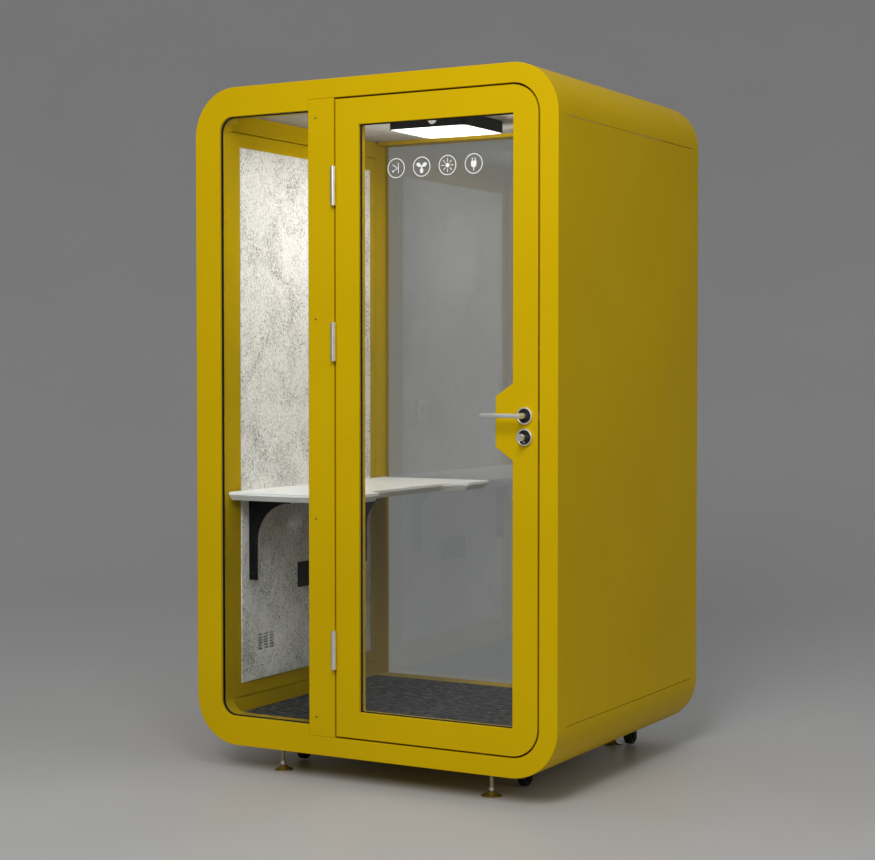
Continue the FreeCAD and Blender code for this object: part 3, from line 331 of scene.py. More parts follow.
bmesh.ops.create_grid(shape, x_segments=tufts_across, y_segments=tufts_deep, size=0.5)
bmesh.ops.scale(shape, vec=(high.x - low.x, high.y - low.y, 1.0), verts=shape.verts)
bmesh.ops.translate(shape, vec=((low.x + high.x) / 2, (low.y + high.y) / 2, high.z),
                    verts=shape.verts)
rim = [e for e in shape.edges if e.is_boundary]
drawn = bmesh.ops.extrude_edge_only(shape, edges=rim)["geom"]
skirt = [g for g in drawn if isinstance(g, bmesh.types.BMVert)]
bmesh.ops.translate(shape, vec=(0.0, 0.0, low.z - high.z), verts=skirt)
bmesh.ops.contextual_create(shape, geom=[e for e in shape.edges if e.is_boundary])
for vert in shape.verts:
    if vert.co.z > high.z - 1e-6:
        tuft = noise.noise(Vector((vert.co.x * rib_across, vert.co.y * rib_deep, 3.0)))
        vert.co.z -= pile * (0.5 + 0.5 * tuft)
bmesh.ops.recalc_face_normals(shape, faces=shape.faces)
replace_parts(finished(shape, "carpet_pile", "root", "carpet", carpet_finish), "carpet")

# ---- floor board, insulation and chassis -------------------------------------
# Out of sight under the carpet and behind the panels: raw birch plywood, pressed
# mineral wool, and zinc-plated box rails that carry the feet and casters.
raw_plywood, tree, shader, place = new_finish("raw_plywood", specular=0.3)
grain = mottle(tree, place, 24.0, (0.15, 1.0, 6.0), detail=9.0, wander=1.0)
tree.links.new(shades(tree, grain, (0.3, 0.36, 0.24, 0.12), (0.7, 0.58, 0.42, 0.25)),
               shader.inputs["Base Color"])
tree.links.new(spread(tree, grain, 0.55, 0.75), shader.inputs["Roughness"])
relief(tree, shader, [(grain, 0.0003)])
dress(raw_plywood, "floor_board")

mineral_wool = pressed_felt("mineral_wool", (0.62, 0.56, 0.38), (0.50, 0.44, 0.29), (0.34, 0.29, 0.18))
dress(mineral_wool, "sound_insulation")

zinc_plate, tree, shader, place = new_finish("zinc_plate", metallic=1.0)
spangle = mottle(tree, place, 60.0, detail=7.0, wander=0.5)
tree.links.new(shades(tree, spangle, (0.3, 0.40, 0.41, 0.43), (0.7, 0.56, 0.57, 0.60)),
               shader.inputs["Base Color"])
tree.links.new(spread(tree, spangle, 0.30, 0.52), shader.inputs["Roughness"])
relief(tree, shader, [(spangle, 0.0001)])
dress(zinc_plate, "chassis_rails")

# ---- levelling feet ----------------------------------------------------------
# Four M14 stems with a hexagon to turn them stand in turned steel pads. The stems
# screw into the chassis rails; the pads take them in a plain socket.


def brushed(name, pale, dark, stretch, gloss=(0.22, 0.38), cut=0.00004):
    """Bare metal with fine lines that all run one way."""
    finish, tree, shader, place = new_finish(name, metallic=1.0)
    lines = mottle(tree, place, 260.0, stretch, detail=6.0)
    stain = mottle(tree, place, 14.0, detail=6.0)
    tree.links.new(shades(tree, stain, (0.3, *dark), (0.7, *pale)), shader.inputs["Base Color"])
    tree.links.new(spread(tree, lines, gloss[0], gloss[1]), shader.inputs["Roughness"])
    relief(tree, shader, [(lines, cut)])
    return finish


def turned(shape, outline, centre, axis, out, steps=48):
    """Spin a half outline of (radius, distance along the axis) once round the axis."""
    centre, axis, out = Vector(centre), Vector(axis), Vector(out)
    points = [shape.verts.new(centre + axis * along + out * radius) for radius, along in outline]
    lines = [shape.edges.new(pair) for pair in zip(points, points[1:])]
    bmesh.ops.spin(shape, geom=points + lines, cent=centre, axis=axis, dvec=(0.0, 0.0, 0.0),
                   angle=math.tau, steps=steps, use_merge=True, use_duplicate=False)
    bmesh.ops.remove_doubles(shape, verts=shape.verts, dist=1e-6)
    bmesh.ops.recalc_face_normals(shape, faces=shape.faces)


stem_steel = brushed("foot_stem_steel", (0.74, 0.73, 0.71), (0.60, 0.58, 0.55), (1.0, 1.0, 8.0))
pitch, thread_r, core_r = 0.002, 0.007, 0.0062
nut_low, nut_high, nut_r, nut_edge = 0.0205, 0.0285, 0.0105, 0.0008
neck, chamfer = 0.002, 0.001
for corner in ("fl", "fr", "rl", "rr"):
    node = "foot_stem_" + corner
    low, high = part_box(node)
    middle = (low + high) / 2
    outline = [(0.0, low.z), (core_r - chamfer, low.z), (core_r, low.z + chamfer),
               (core_r, nut_high + neck)]
    turns = int((high.z - nut_high - 2 * neck) / pitch)
    for k in range(turns):
        z = nut_high + neck + k * pitch
        outline += [(core_r, z + 0.2 * pitch), (thread_r, z + 0.55 * pitch),
                    (thread_r, z + 0.65 * pitch)]
    outline += [(core_r, high.z - chamfer), (core_r - chamfer, high.z), (0.0, high.z)]
    shape = bmesh.new()
    turned(shape, outline, (middle.x, middle.y, 0.0), (0, 0, 1), (1, 0, 0), 24)
    nut_place = Matrix.Translation((middle.x, middle.y, (nut_low + nut_high) / 2))
    nut = bmesh.ops.create_cone(shape, cap_ends=True, cap_tris=False, segments=6, radius1=nut_r,
                                radius2=nut_r, depth=nut_high - nut_low, matrix=nut_place)
    nut_edges = list({e for v in nut["verts"] for e in v.link_edges})
    bmesh.ops.bevel(shape, geom=nut_edges, offset=nut_edge, affect="EDGES", segments=2, profile=0.5,
                    material=-1)
    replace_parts(finished(shape, "foot_screw_" + corner, "foot_" + corner, "satin_steel", stem_steel),
                node)


def loose_bodies(name):
    """The separate solids of a CAD node, each as its lowest and highest corner."""
    shape = copy_of(name)
    waiting = set(shape.verts)
    boxes = []
    while waiting:
        reach = [waiting.pop()]
        corners = []
        while reach:
            vert = reach.pop()
            corners.append(vert.co.copy())
            for edge in vert.link_edges:
                other = edge.other_vert(vert)
                if other in waiting:
                    waiting.remove(other)
                    reach.append(other)
        boxes.append((Vector(min(c[i] for c in corners) for i in range(3)),
                      Vector(max(c[i] for c in corners) for i in range(3))))
    shape.free()
    return sorted(boxes, key=lambda box: tuple(round(v, 4) for v in box[0]))


pad_steel = brushed("foot_pad_steel", (0.70, 0.68, 0.64), (0.52, 0.49, 0.44), (1.0, 1.0, 1.0),
                    (0.16, 0.30))
socket_r, socket_foot_r, socket_floor = 0.0072, 0.0071, 0.0050
shape = bmesh.new()
for low, high in loose_bodies("foot_pads"):
    middle = (low + high) / 2
    reach = (high.x - low.x) / 2
    rise = high.z
    outline = [(0.0, 0.0), (reach - 0.001, 0.0), (reach, 0.0012), (reach, 0.0030),
               (reach - 0.0012, 0.0044), (0.60 * reach, 0.0098), (0.46 * reach, 0.0128),
               (0.375 * reach, 0.0165), (0.35 * reach, rise - 0.0006), (0.33 * reach, rise),
               (socket_r, rise), (socket_foot_r, 0.0052), (0.0, socket_floor)]
    turned(shape, outline, (middle.x, middle.y, 0.0), (0, 0, 1), (1, 0, 0), 48)
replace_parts(finished(shape, "foot_pad_cones", "root", "foot_chrome", pad_steel), "foot_pads")

# ---- casters -----------------------------------------------------------------
# Four black nylon wheels for moving the booth. They hang just clear of the floor
# in pressed forks, powder coated black; the front pair swivels.
black_coat = powder_coat("black_powder_coat", (0.011, 0.011, 0.012), (0.006, 0.006, 0.007), (0.40, 0.54))
dress(black_coat, "caster_fork_fl", "caster_fork_fr", "rear_caster_forks")


def moulded(name, pale, dark, gloss=(0.42, 0.58), grit=0.00008):
    """Injection-moulded plastic with a fine spark texture."""
    finish, tree, shader, place = new_finish(name, specular=0.22)
    cast = mottle(tree, place, 18.0, detail=6.0)
    spark = mottle(tree, place, 1400.0, detail=2.0)
    tree.links.new(shades(tree, cast, (0.3, *dark), (0.7, *pale)), shader.inputs["Base Color"])
    tree.links.new(spread(tree, cast, gloss[0], gloss[1]), shader.inputs["Roughness"])
    relief(tree, shader, [(spark, grit)])
    return finish


black_nylon = moulded("black_nylon", (0.022, 0.022, 0.024), (0.012, 0.012, 0.013), (0.35, 0.5))
bore = 0.0041
for corner in ("fl", "fr", "rl", "rr"):
    node = "caster_wheel_" + corner
    low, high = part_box(node)
    middle = (low + high) / 2
    tyre = (high.z - low.z) / 2
    half = (high.x - low.x) / 2
    outline = [(bore, -half), (0.30 * tyre, -half), (0.32 * tyre, -half + 0.0006),
               (0.34 * tyre, -half + 0.003), (0.70 * tyre, -half + 0.003), (0.74 * tyre, -half + 0.0004),
               (0.86 * tyre, -half), (0.95 * tyre, -half + 0.0018), (tyre, -0.55 * half),
               (tyre, -0.10 * half), (0.975 * tyre, -0.06 * half)]
    outline += [(radius, -along) for radius, along in reversed(outline)]
    shape = bmesh.new()
    turned(shape, outline + outline[:1], (middle.x, middle.y, middle.z), (1, 0, 0), (0, 0, 1), 64)
    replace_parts(finished(shape, "caster_tyre_" + corner, "wheel_" + corner, "black_plastic", black_nylon),
                node)

# ---- hinges, lock and levers -------------------------------------------------
# Satin stainless steel. Three lift-off hinges carry the door; the mortise lock has a
# latch worked by round-bar levers and a deadbolt worked by the thumb turn.
satin_steel = brushed("satin_steel", (0.90, 0.89, 0.86), (0.80, 0.78, 0.74), (1.0, 1.0, 0.05),
                      (0.30, 0.44))
lever_steel = brushed("lever_steel", (0.88, 0.87, 0.85), (0.80, 0.78, 0.75), (0.05, 1.0, 1.0),
                      (0.34, 0.44), cut=0.000008)
dress(satin_steel, "hinge_frame_leaves", "hinge_door_leaves", "lock_case", "latch_bolt", "deadbolt",
      "strike_plate", "turn_knobs")
bar_r, neck_r, spindle_r, bar_end = 0.007, 0.009, 0.006, 0.0012
spindle_in = 0.004
rose_front = 0.0085
for outward, node, foot in ((-1, "outer_lever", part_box("door_leaf")[0].y - rose_front),
                            (1, "inner_lever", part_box("door_leaf")[1].y + rose_front)):
    low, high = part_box(node)
    lever_x, lever_z = high.x - neck_r, (low.z + high.z) / 2
    bar_y = high.y - bar_r if outward > 0 else low.y + bar_r
    start, tip = lever_x + bar_r, low.x
    outline = [(0.0, 0.0), (bar_r - bar_end, 0.0), (bar_r, bar_end), (bar_r, start - tip - bar_r)]
    for k in range(1, 6):
        bend = math.radians(15.0 * k)
        outline.append((bar_r * math.cos(bend), start - tip - bar_r + bar_r * math.sin(bend)))
    shape = bmesh.new()
    turned(shape, outline + [(0.0, start - tip)], (start, bar_y, lever_z), (-1, 0, 0), (0, 0, 1), 40)
    reach = abs(bar_y - foot)
    turned(shape, [(0.0, 0.0), (neck_r - 0.0006, 0.0), (neck_r, 0.0006), (neck_r, reach - 0.004),
                   (neck_r - 0.001, reach - 0.001), (bar_r - 0.001, reach), (0.0, reach)],
           (lever_x, foot, lever_z), (0, outward, 0), (0, 0, 1), 40)
    if outward < 0:
        inner = high.y - foot
        turned(shape, [(0.0, -spindle_in), (spindle_r, -spindle_in), (spindle_r, inner - 0.001),
                       (spindle_r - 0.001, inner), (0.0, inner)],
               (lever_x, foot, lever_z), (0, 1, 0), (0, 0, 1), 24)
    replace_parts(finished(shape, node + "_handle", "lever", "satin_steel", lever_steel), node)

# ---- roses -------------------------------------------------------------------
# A round rose covers each spindle hole: a turned steel rim snapped over a black
# plastic disc, two outside and two inside. The outer lock rose has a release pin.
rose_disc = moulded("black_rose_disc", (0.020, 0.020, 0.021), (0.011, 0.011, 0.012), (0.22, 0.34),
                    grit=0.00003)
shape = bmesh.new()
outer_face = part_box("front_frame")[0].y
thick, hole, rim_w = 0.008, 0.0068, 0.0052
pin_r, pin_drop, pin_out = 0.003, 0.015, 0.0010
for low, high in loose_bodies("rose_plates"):
    middle = (low + high) / 2
    outward = -1.0 if middle.y < outer_face else 1.0
    foot = high.y if outward < 0 else low.y
    reach = (high.x - low.x) / 2
    if high.y - low.y > thick + 0.0005:
        pin_foot = (middle.x, foot, middle.z - pin_drop)
    outline = [(reach, 0.0), (reach, thick - 0.0018), (reach - 0.0008, thick - 0.0004),
               (reach - 0.0020, thick), (reach - 0.0040, thick), (reach - 0.0050, thick - 0.0006),
               (reach - 0.0054, thick - 0.0016), (hole + 0.0045, thick - 0.0016),
               (hole + 0.0040, thick - 0.0012), (hole, thick - 0.0012), (hole, 0.0)]
    turned(shape, outline + outline[:1], (middle.x, foot, middle.z), (0, outward, 0), (1, 0, 0), 64)
    for face in shape.faces:
        spot = face.calc_center_median()
        if math.hypot(spot.x - middle.x, spot.z - middle.z) < reach - rim_w:
            face.material_index = 1
turned(shape, [(0.0, thick - 0.002), (pin_r, thick - 0.002), (pin_r, thick + 0.0006),
               (pin_r - 0.0004, thick + pin_out), (0.0, thick + pin_out)],
       pin_foot, (0, -1, 0), (1, 0, 0), 24)
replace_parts(finished(shape, "rose_covers", "door", "satin_steel", lever_steel, rose_disc), "rose_plates")

# ---- frame screws ------------------------------------------------------------
# Countersunk hexagon-socket screws, blackened and flush, hold the mullion, the
# posts and the desk brackets.
blackened = brushed("blackened_steel", (0.10, 0.095, 0.085), (0.05, 0.047, 0.042), (1.0, 1.0, 1.0),
                    (0.30, 0.46))
shape = bmesh.new()
for low, high in loose_bodies("frame_screws"):
    middle = (low + high) / 2
    thick = min(high[i] - low[i] for i in range(3))
    side = min(range(3), key=lambda i: high[i] - low[i])
    radius = max(high - low) / 2
    axis = Vector((0.0, 0.0, 0.0))
    axis[side] = -1.0 if side == 1 or middle.x > 0 else 1.0
    out = Vector((0.0, 0.0, 1.0))
    foot = middle - axis * thick / 2
    socket = 0.42 * radius
    outline = [(0.0, 0.0), (radius, 0.0), (radius, 0.4 * thick), (0.88 * radius, 0.8 * thick),
               (0.70 * radius, thick), (socket * 1.1, thick), (socket, 0.9 * thick),
               (socket, 0.15 * thick), (0.0, 0.15 * thick)]
    turned(shape, outline, foot, axis, out, 24)
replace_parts(finished(shape, "socket_screws", "root", "satin_steel", blackened), "frame_screws")

# ---- desk and brackets -------------------------------------------------------
# The desk is fibreboard in a white satin laminate, undercut along its free edges.
# Two gusset brackets of black powder-coated steel carry it on the left wall.
white_laminate, tree, shader, place = new_finish("white_laminate", specular=0.5)
tone = mottle(tree, place, 3.0, detail=6.0)
fine = mottle(tree, place, 700.0, detail=3.0)
rubbed = mottle(tree, place, 8.0, (1.0, 0.4, 1.0), detail=8.0, wander=0.8)
tree.links.new(shades(tree, tone, (0.3, 0.80, 0.795, 0.78), (0.7, 0.85, 0.845, 0.835)),
               shader.inputs["Base Color"])
tree.links.new(spread(tree, rubbed, 0.28, 0.40), shader.inputs["Roughness"])
relief(tree, shader, [(fine, 0.00004)])
dress(white_laminate, "desk_top")
dress(black_coat, "desk_brackets")

# ---- lamp and sensor ---------------------------------------------------------
# A flat black ceiling lamp with an opal panel, and a white motion sensor dome on its front edge whose lens
# is moulded in small cells; the lens has a faint painted glow.
dress(black_coat, "lamp_housing")
lamp_white = (1.0, 0.985, 0.96)
opal_panel, tree, shader, place = new_finish("opal_panel", specular=0.4)
haze = mottle(tree, place, 12.0, detail=4.0)
tree.links.new(shades(tree, haze, (0.2, 0.90, 0.90, 0.89), (0.8, 0.95, 0.95, 0.94)),
               shader.inputs["Base Color"])
tree.links.new(spread(tree, haze, 0.38, 0.5), shader.inputs["Roughness"])
relief(tree, shader, [(mottle(tree, place, 900.0, detail=2.0), 0.00005)])
shader.inputs["Emission Color"].default_value = (*lamp_white, 1.0)
shader.inputs["Emission Strength"].default_value = 0.36
dress(opal_panel, "lamp_diffuser")

sensor_lens_painted_glow, tree, shader, place = new_finish("sensor_lens_painted_glow", specular=0.5)
cells = tree.nodes.new("ShaderNodeTexVoronoi")
cells.inputs["Scale"].default_value = 260.0
tree.links.new(place, cells.inputs["Vector"])
tree.links.new(shades(tree, cells.outputs["Distance"], (0.0, 0.86, 0.86, 0.85), (0.8, 0.70, 0.70, 0.69)),
               shader.inputs["Base Color"])
tree.links.new(spread(tree, cells.outputs["Distance"], 0.25, 0.45, 0.0, 1.0), shader.inputs["Roughness"])
relief(tree, shader, [(cells.outputs["Distance"], 0.0006)])
# the lens glows faintly though it is no lamp: painted light, so it reads white in the lamp's shade
shader.inputs["Emission Color"].default_value = (1.0, 1.0, 0.98, 1.0)
shader.inputs["Emission Strength"].default_value = 0.30
dress(sensor_lens_painted_glow, "motion_sensor")

# ---- fan and grilles ---------------------------------------------------------
# A 120 mm axial fan over the ceiling slots draws stale air out through the roof;
# fresh air enters low in the left wall through a black moulded grille.
fan_black = moulded("fan_plastic", (0.026, 0.026, 0.028), (0.016, 0.016, 0.018))
dress(fan_black, "fan_housing", "fan_impeller", "intake_grille")

# ---- socket panel ------------------------------------------------------------
# Black moulded panel under the desk with two round mains sockets and two charging
# slots, screwed to the wall through the felt.


def block(shape, centre, size, turn=Matrix.Identity(4)):
    """Add a block of a size about a centre, turned on the spot."""
    return bmesh.ops.create_cube(shape, size=1.0, matrix=Matrix.Translation(centre) @ turn
                                 @ Matrix.Diagonal((*size, 1.0)))


def moulded_plate(shape, low, high, side, outward, radius):
    """Add a moulded plate: a block whose corners and front edges are rounded."""
    plate = block(shape, (low + high) / 2, high - low)
    level = high[side] if outward > 0 else low[side]
    corners = [e for e in {e for v in plate["verts"] for e in v.link_edges}
               if abs(e.verts[0].co[side] - e.verts[1].co[side]) > 1e-5]
    bmesh.ops.bevel(shape, geom=corners, offset=2.5 * radius, affect="EDGES", segments=5, profile=0.5,
                    material=-1)
    soften(shape, side, level, radius)


socket_black = moulded("socket_plastic", (0.012, 0.012, 0.013), (0.007, 0.007, 0.008), (0.34, 0.46),
                       grit=0.00003)
low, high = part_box("socket_panel")
middle = (low + high) / 2
proud, outlet_gap, pin_gap, clip_gap, slot_gap = 0.0020, 0.052, 0.0095, 0.0172, 0.024
face_x = high.x - proud
shape = bmesh.new()
moulded_plate(shape, low, Vector((face_x, high.y, high.z)), 0, 1, 0.0016)
for offset in (-outlet_gap, 0.0):
    centre = (face_x, middle.y + offset, middle.z)
    turned(shape, [(0.0215, -0.0010), (0.0215, 0.0014), (0.0207, 0.0019), (0.0198, 0.0019),
                   (0.0192, 0.0012), (0.0190, -0.0010), (0.0215, -0.0010)],
           centre, (1, 0, 0), (0, 0, 1), 48)
    for way in (-1, 1):
        pin = (face_x, centre[1] + way * pin_gap, middle.z)
        turned(shape, [(0.0038, -0.0010), (0.0038, 0.0009), (0.0034, 0.0012), (0.0027, 0.0012),
                       (0.0024, 0.0008), (0.0024, -0.0010), (0.0038, -0.0010)],
               pin, (1, 0, 0), (0, 0, 1), 24)
        clip = (face_x + 0.0003, centre[1], middle.z + way * clip_gap)
        block(shape, clip, (0.0016, 0.005, 0.0022))
for k in range(2):
    spot = Vector((high.x - 0.0015, middle.y + outlet_gap, middle.z + (k - 0.5) * slot_gap))
    for dy, dz, wide, tall in ((0, 0.0042, 0.0170, 0.0016), (0, -0.0042, 0.0170, 0.0016),
                               (0.0077, 0, 0.0016, 0.0068), (-0.0077, 0, 0.0016, 0.0068),
                               (0, 0.0008, 0.0115, 0.0018)):
        block(shape, spot + Vector((0, dy, dz)), (0.0022, wide, tall))
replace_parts(finished(shape, "socket_face", "root", "black_plastic", socket_black), "socket_panel")

# ---- light switch and dimmer knob --------------------------------------------
# White moulded plate on the felt over the desk, with a ribbed dimmer knob that
# turns on its own spindle and a raised pointer on it.
white_plastic = moulded("white_plastic", (0.80, 0.80, 0.79), (0.74, 0.74, 0.73), (0.24, 0.36),
                        grit=0.00002)
low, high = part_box("switch_plate")
middle = (low + high) / 2
face_x = high.x - 0.0012
shape = bmesh.new()
moulded_plate(shape, low, Vector((face_x, high.y, high.z)), 0, 1, 0.0018)
turned(shape, [(0.0205, -0.0008), (0.0205, 0.0006), (0.0199, 0.0011), (0.0188, 0.0011), (0.0182, 0.0004),
               (0.0180, -0.0008), (0.0205, -0.0008)],
       (face_x, middle.y, middle.z), (1, 0, 0), (0, 0, 1), 64)
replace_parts(finished(shape, "switch_face", "root", "white_plastic", white_plastic), "switch_plate")

low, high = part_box("dimmer_knob")
middle = (low + high) / 2
plate_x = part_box("switch_plate")[1].x + 0.0004
grip = (high.y - low.y) / 2
shape = bmesh.new()
turned(shape, [(0.0, plate_x), (grip - 0.0012, plate_x), (grip - 0.0012, plate_x + 0.0100),
               (grip - 0.0020, plate_x + 0.0114), (grip - 0.0034, plate_x + 0.0120),
               (0.0060, plate_x + 0.0116), (0.0, plate_x + 0.0115)],
       (0.0, middle.y, middle.z), (1, 0, 0), (0, 0, 1), 72)
ribs, rib_r = 36, grip - 0.0014
for k in range(ribs):
    way = math.tau * k / ribs
    spot = (plate_x + 0.0052, middle.y + rib_r * math.sin(way), middle.z + rib_r * math.cos(way))
    block(shape, spot, (0.0096, 0.0012, 0.0024), Matrix.Rotation(-way, 4, "X"))
pointer = (high.x - 0.0016, middle.y, middle.z + 0.0085)
block(shape, pointer, (0.0032, 0.0026, 0.0120))
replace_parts(finished(shape, "dimmer_cap", "dimmer", "white_plastic", white_plastic), "dimmer_knob")

# ---- power inlet -------------------------------------------------------------
# Black appliance inlet in the top border of the back ring: a flanged shell round
# three flat pins. The booth's lead is a separate one that plugs in here.
low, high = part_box("power_inlet")
middle = (low + high) / 2
shape = bmesh.new()
moulded_plate(shape, low, Vector((high.x, high.y - 0.0020, high.z)), 1, 1, 0.0007)
for dx, dz, wide, tall in ((0, 0.0090, 0.0300, 0.0022), (0, -0.0090, 0.0300, 0.0022),
                           (0.0139, 0, 0.0022, 0.0160), (-0.0139, 0, 0.0022, 0.0160)):
    block(shape, (middle.x + dx, high.y - 0.0012, middle.z + dz), (wide, 0.0024, tall))
shell_faces = len(shape.faces)
for dx, dz in ((-0.007, -0.0020), (0.0, 0.0022), (0.007, -0.0020)):
    block(shape, (middle.x + dx, high.y - 0.0014, middle.z + dz), (0.0020, 0.0020, 0.0045))
shape.faces.ensure_lookup_table()
for face in shape.faces[shell_faces:]:
    face.material_index = 1
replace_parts(finished(shape, "inlet_shell", "root", "black_plastic", socket_black, satin_steel),
            "power_inlet")

# ---- printed signs on the door glass -----------------------------------------
# Four white ring signs, screen printed in a row near the top of the door pane:
# sound damping, fan, light and mains power.
sign_white, tree, shader, place = new_finish("white_print", specular=0.3)
ink = mottle(tree, place, 160.0, detail=5.0)
tree.links.new(shades(tree, ink, (0.3, 0.84, 0.84, 0.84), (0.7, 0.90, 0.90, 0.90)),
               shader.inputs["Base Color"])
tree.links.new(spread(tree, ink, 0.45, 0.6), shader.inputs["Roughness"])
relief(tree, shader, [(ink, 0.00003)])
shape = bmesh.new()
pane_low, pane_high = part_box("door_glass")
glass_front = pane_low.y
film, sign_r, line = 0.0003, 0.0315, 0.0026
sign_drop, first_sign, sign_step = 0.1455, 0.1324, 0.0935
facing = Matrix.Rotation(math.radians(90.0), 4, "X")


def ring_print(x, z, radius, wide):
    """A printed ring, seen from the front."""
    loops = []
    for r in (radius, radius - wide):
        made = bmesh.ops.create_circle(shape, cap_ends=False, segments=64, radius=r,
                                       matrix=Matrix.Translation((x, glass_front, z)) @ facing)
        loops += list({e for v in made["verts"] for e in v.link_edges})
    bmesh.ops.bridge_loops(shape, edges=loops)


def disc_print(x, z, wide, tall, turn=0.0, sides=32):
    """A printed oval, or a diamond or bar with fewer sides."""
    spot = Matrix.Translation((x, glass_front, z)) @ Matrix.Rotation(turn, 4, "Y") @ facing
    bmesh.ops.create_circle(shape, cap_ends=True, segments=sides, radius=1.0,
                            matrix=spot @ Matrix.Diagonal((wide, tall, 1.0, 1.0)))


def bar_print(x0, z0, x1, z1, wide):
    """A printed bar between two points."""
    run = math.hypot(x1 - x0, z1 - z0)
    slant = math.atan2(z0 - z1, x1 - x0)
    centre = Matrix.Translation(((x0 + x1) / 2, glass_front, (z0 + z1) / 2))
    spot = centre @ Matrix.Rotation(slant, 4, "Y") @ facing
    bmesh.ops.create_grid(shape, x_segments=1, y_segments=1, size=0.5,
                          matrix=spot @ Matrix.Diagonal((run, wide, 1.0, 1.0)))


sign_z = pane_high.z - sign_drop
sign_xs = [pane_low.x + first_sign + k * sign_step for k in range(4)]
for x in sign_xs:
    ring_print(x, sign_z, sign_r, line)
# sound damping: a wall and an arrow that turns back from it
x = sign_xs[0]
bar_print(x + 0.008, sign_z - 0.016, x + 0.008, sign_z + 0.016, 0.0024)
bar_print(x - 0.014, sign_z + 0.012, x + 0.005, sign_z, 0.0020)
bar_print(x - 0.014, sign_z - 0.012, x + 0.005, sign_z, 0.0020)
bar_print(x - 0.014, sign_z - 0.012, x - 0.008, sign_z - 0.0125, 0.0020)
bar_print(x - 0.014, sign_z - 0.012, x - 0.0128, sign_z - 0.0065, 0.0020)
# fan: three blades round a hub
x = sign_xs[1]
disc_print(x, sign_z, 0.0040, 0.0040)
blade_r = 0.0125
for k in range(3):
    way = math.radians(270.0 + 120.0 * k)
    disc_print(x + blade_r * math.cos(way), sign_z + blade_r * math.sin(way), 0.0085, 0.0062, -way)
# light: a disc with eight rays
x = sign_xs[2]
disc_print(x, sign_z, 0.0070, 0.0070)
ray_from, ray_to = 0.0110, 0.0220
for k in range(8):
    way = math.radians(45.0 * k)
    bar_print(x + ray_from * math.cos(way), sign_z + ray_from * math.sin(way),
              x + ray_to * math.cos(way), sign_z + ray_to * math.sin(way), 0.0021)
# mains power: a plug with two pins and its lead
x = sign_xs[3]
bar_print(x, sign_z - 0.0080, x, sign_z + 0.0085, 0.0190)
for way in (-1, 1):
    bar_print(x + way * 0.0050, sign_z + 0.0086, x + way * 0.0050, sign_z + 0.0185, 0.0028)
bar_print(x, sign_z - 0.0115, x, sign_z - 0.0081, 0.0120)
bar_print(x, sign_z - 0.0220, x, sign_z - 0.0116, 0.0028)
printed = bmesh.ops.extrude_face_region(shape, geom=list(shape.faces))
bmesh.ops.translate(shape, vec=(0.0, -film, 0.0),
                    verts=[g for g in printed["geom"] if isinstance(g, bmesh.types.BMVert)])
bmesh.ops.recalc_face_normals(shape, faces=shape.faces)
finished(shape, "door_signs", "door", "white_plastic", sign_white, smooth=False)

# ---- studio ------------------------------------------------------------------
# A plain pale floor that sweeps up into a round backdrop, four soft lights, the
# booth's own lamp, and the camera at a standing person's chest, in front of the
# booth and to its right.
sweep_finish, tree, shader, place = new_finish("pale_studio_floor", specular=0.35)
dust = mottle(tree, place, 0.8, detail=5.0)
tree.links.new(shades(tree, dust, (0.3, 0.50, 0.50, 0.50), (0.7, 0.52, 0.52, 0.52)),
               shader.inputs["Base Color"])
tree.links.new(spread(tree, dust, 0.34, 0.42), shader.inputs["Roughness"])
shape = bmesh.new()
flat_r, bend_r, slope, bend_steps = 5.0, 9.0, math.radians(52.0), 24
outline = [(flat_r * k / 6, 0.0) for k in range(7)]
outline += [(flat_r + bend_r * math.sin(slope * k / bend_steps),
             bend_r - bend_r * math.cos(slope * k / bend_steps)) for k in range(1, bend_steps + 1)]
edge_r, edge_z = outline[-1]
outline += [(edge_r + k * math.cos(slope), edge_z + k * math.sin(slope)) for k in range(1, 9)]
turned(shape, outline, (0.0, 0.0, 0.0), (0, 0, 1), (1, 0, 0), 128)
bmesh.ops.reverse_faces(shape, faces=[f for f in shape.faces if f.normal.z < 0])
mesh = bpy.data.meshes.new("studio_sweep")
shape.to_mesh(mesh)
shape.free()
mesh.materials.append(sweep_finish)
mesh.shade_smooth()
sweep = bpy.data.objects.new("studio_sweep", mesh)
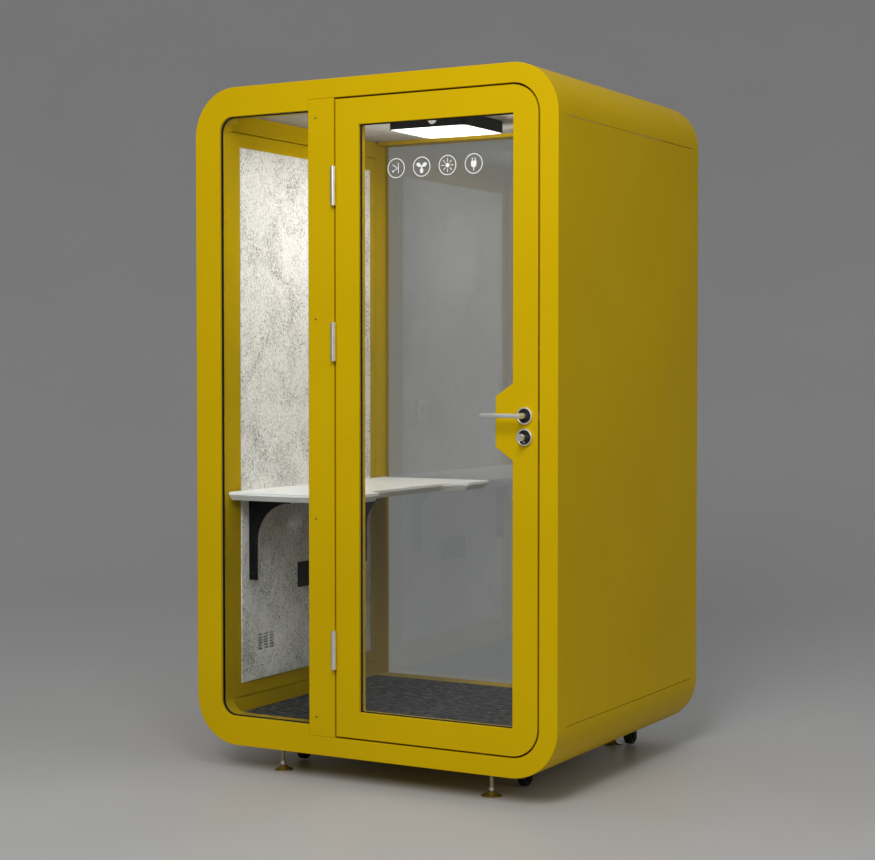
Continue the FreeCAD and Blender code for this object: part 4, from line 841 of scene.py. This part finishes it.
bpy.context.scene.collection.objects.link(sweep)

world = bpy.data.worlds.new("studio_air")
world.use_nodes = True
air = world.node_tree.nodes["Background"]
air.inputs["Color"].default_value = (1.0, 1.0, 1.0, 1.0)
air.inputs["Strength"].default_value = 0.32
bpy.context.scene.world = world

booth_middle = Vector((0.0, 0.0, 1.2))
for name, spot, size, power in (("key_softbox", (1.4, -6.4, 5.0), 3.0, 252.0),
                                ("corner_softbox", (1.5, -2.6, 3.4), 0.8, 30.0),
                                ("fill_softbox", (7.5, -1.0, 3.6), 3.2, 54.0),
                                ("top_softbox", (0.5, 0.5, 7.0), 4.0, 12.0)):
    lamp = bpy.data.lights.new(name, "AREA")
    lamp.shape = "SQUARE"
    lamp.size = size
    lamp.energy = power
    holder = bpy.data.objects.new(name, lamp)
    holder.location = spot
    holder.rotation_euler = (booth_middle - Vector(spot)).to_track_quat("-Z", "Y").to_euler()
    bpy.context.scene.collection.objects.link(holder)

# light from the opal panel, and a little all round it to reach the ceiling
low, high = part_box("lamp_diffuser")
glow = bpy.data.lights.new("booth_lamp_glow", "AREA")
glow.shape = "RECTANGLE"
glow.size, glow.size_y = high.x - low.x, high.y - low.y
glow.energy = 5.0
glow.color = lamp_white
spill = bpy.data.lights.new("booth_lamp_spill", "POINT")
spill.shadow_soft_size = 0.05
spill.energy = 7.5
spill.color = lamp_white
for light, drop in ((glow, 0.002), (spill, 0.06)):
    holder = bpy.data.objects.new(light.name, light)
    holder.location = ((low.x + high.x) / 2, (low.y + high.y) / 2, low.z - drop)
    holder.visible_camera = False
    holder.visible_transmission = False
    holder.visible_glossy = False
    bpy.context.scene.collection.objects.link(holder)

camera = bpy.data.objects.new("camera", bpy.data.cameras.new("camera"))
camera.location = (3.1402, -5.6479, 1.3636)
camera.rotation_euler = (math.radians(88.081), 0.0, math.radians(29.451))
camera.data.lens = 76.52
camera.data.sensor_width = 36.0
bpy.context.scene.collection.objects.link(camera)
bpy.context.scene.camera = camera
bpy.context.scene.view_settings.view_transform = "Standard"
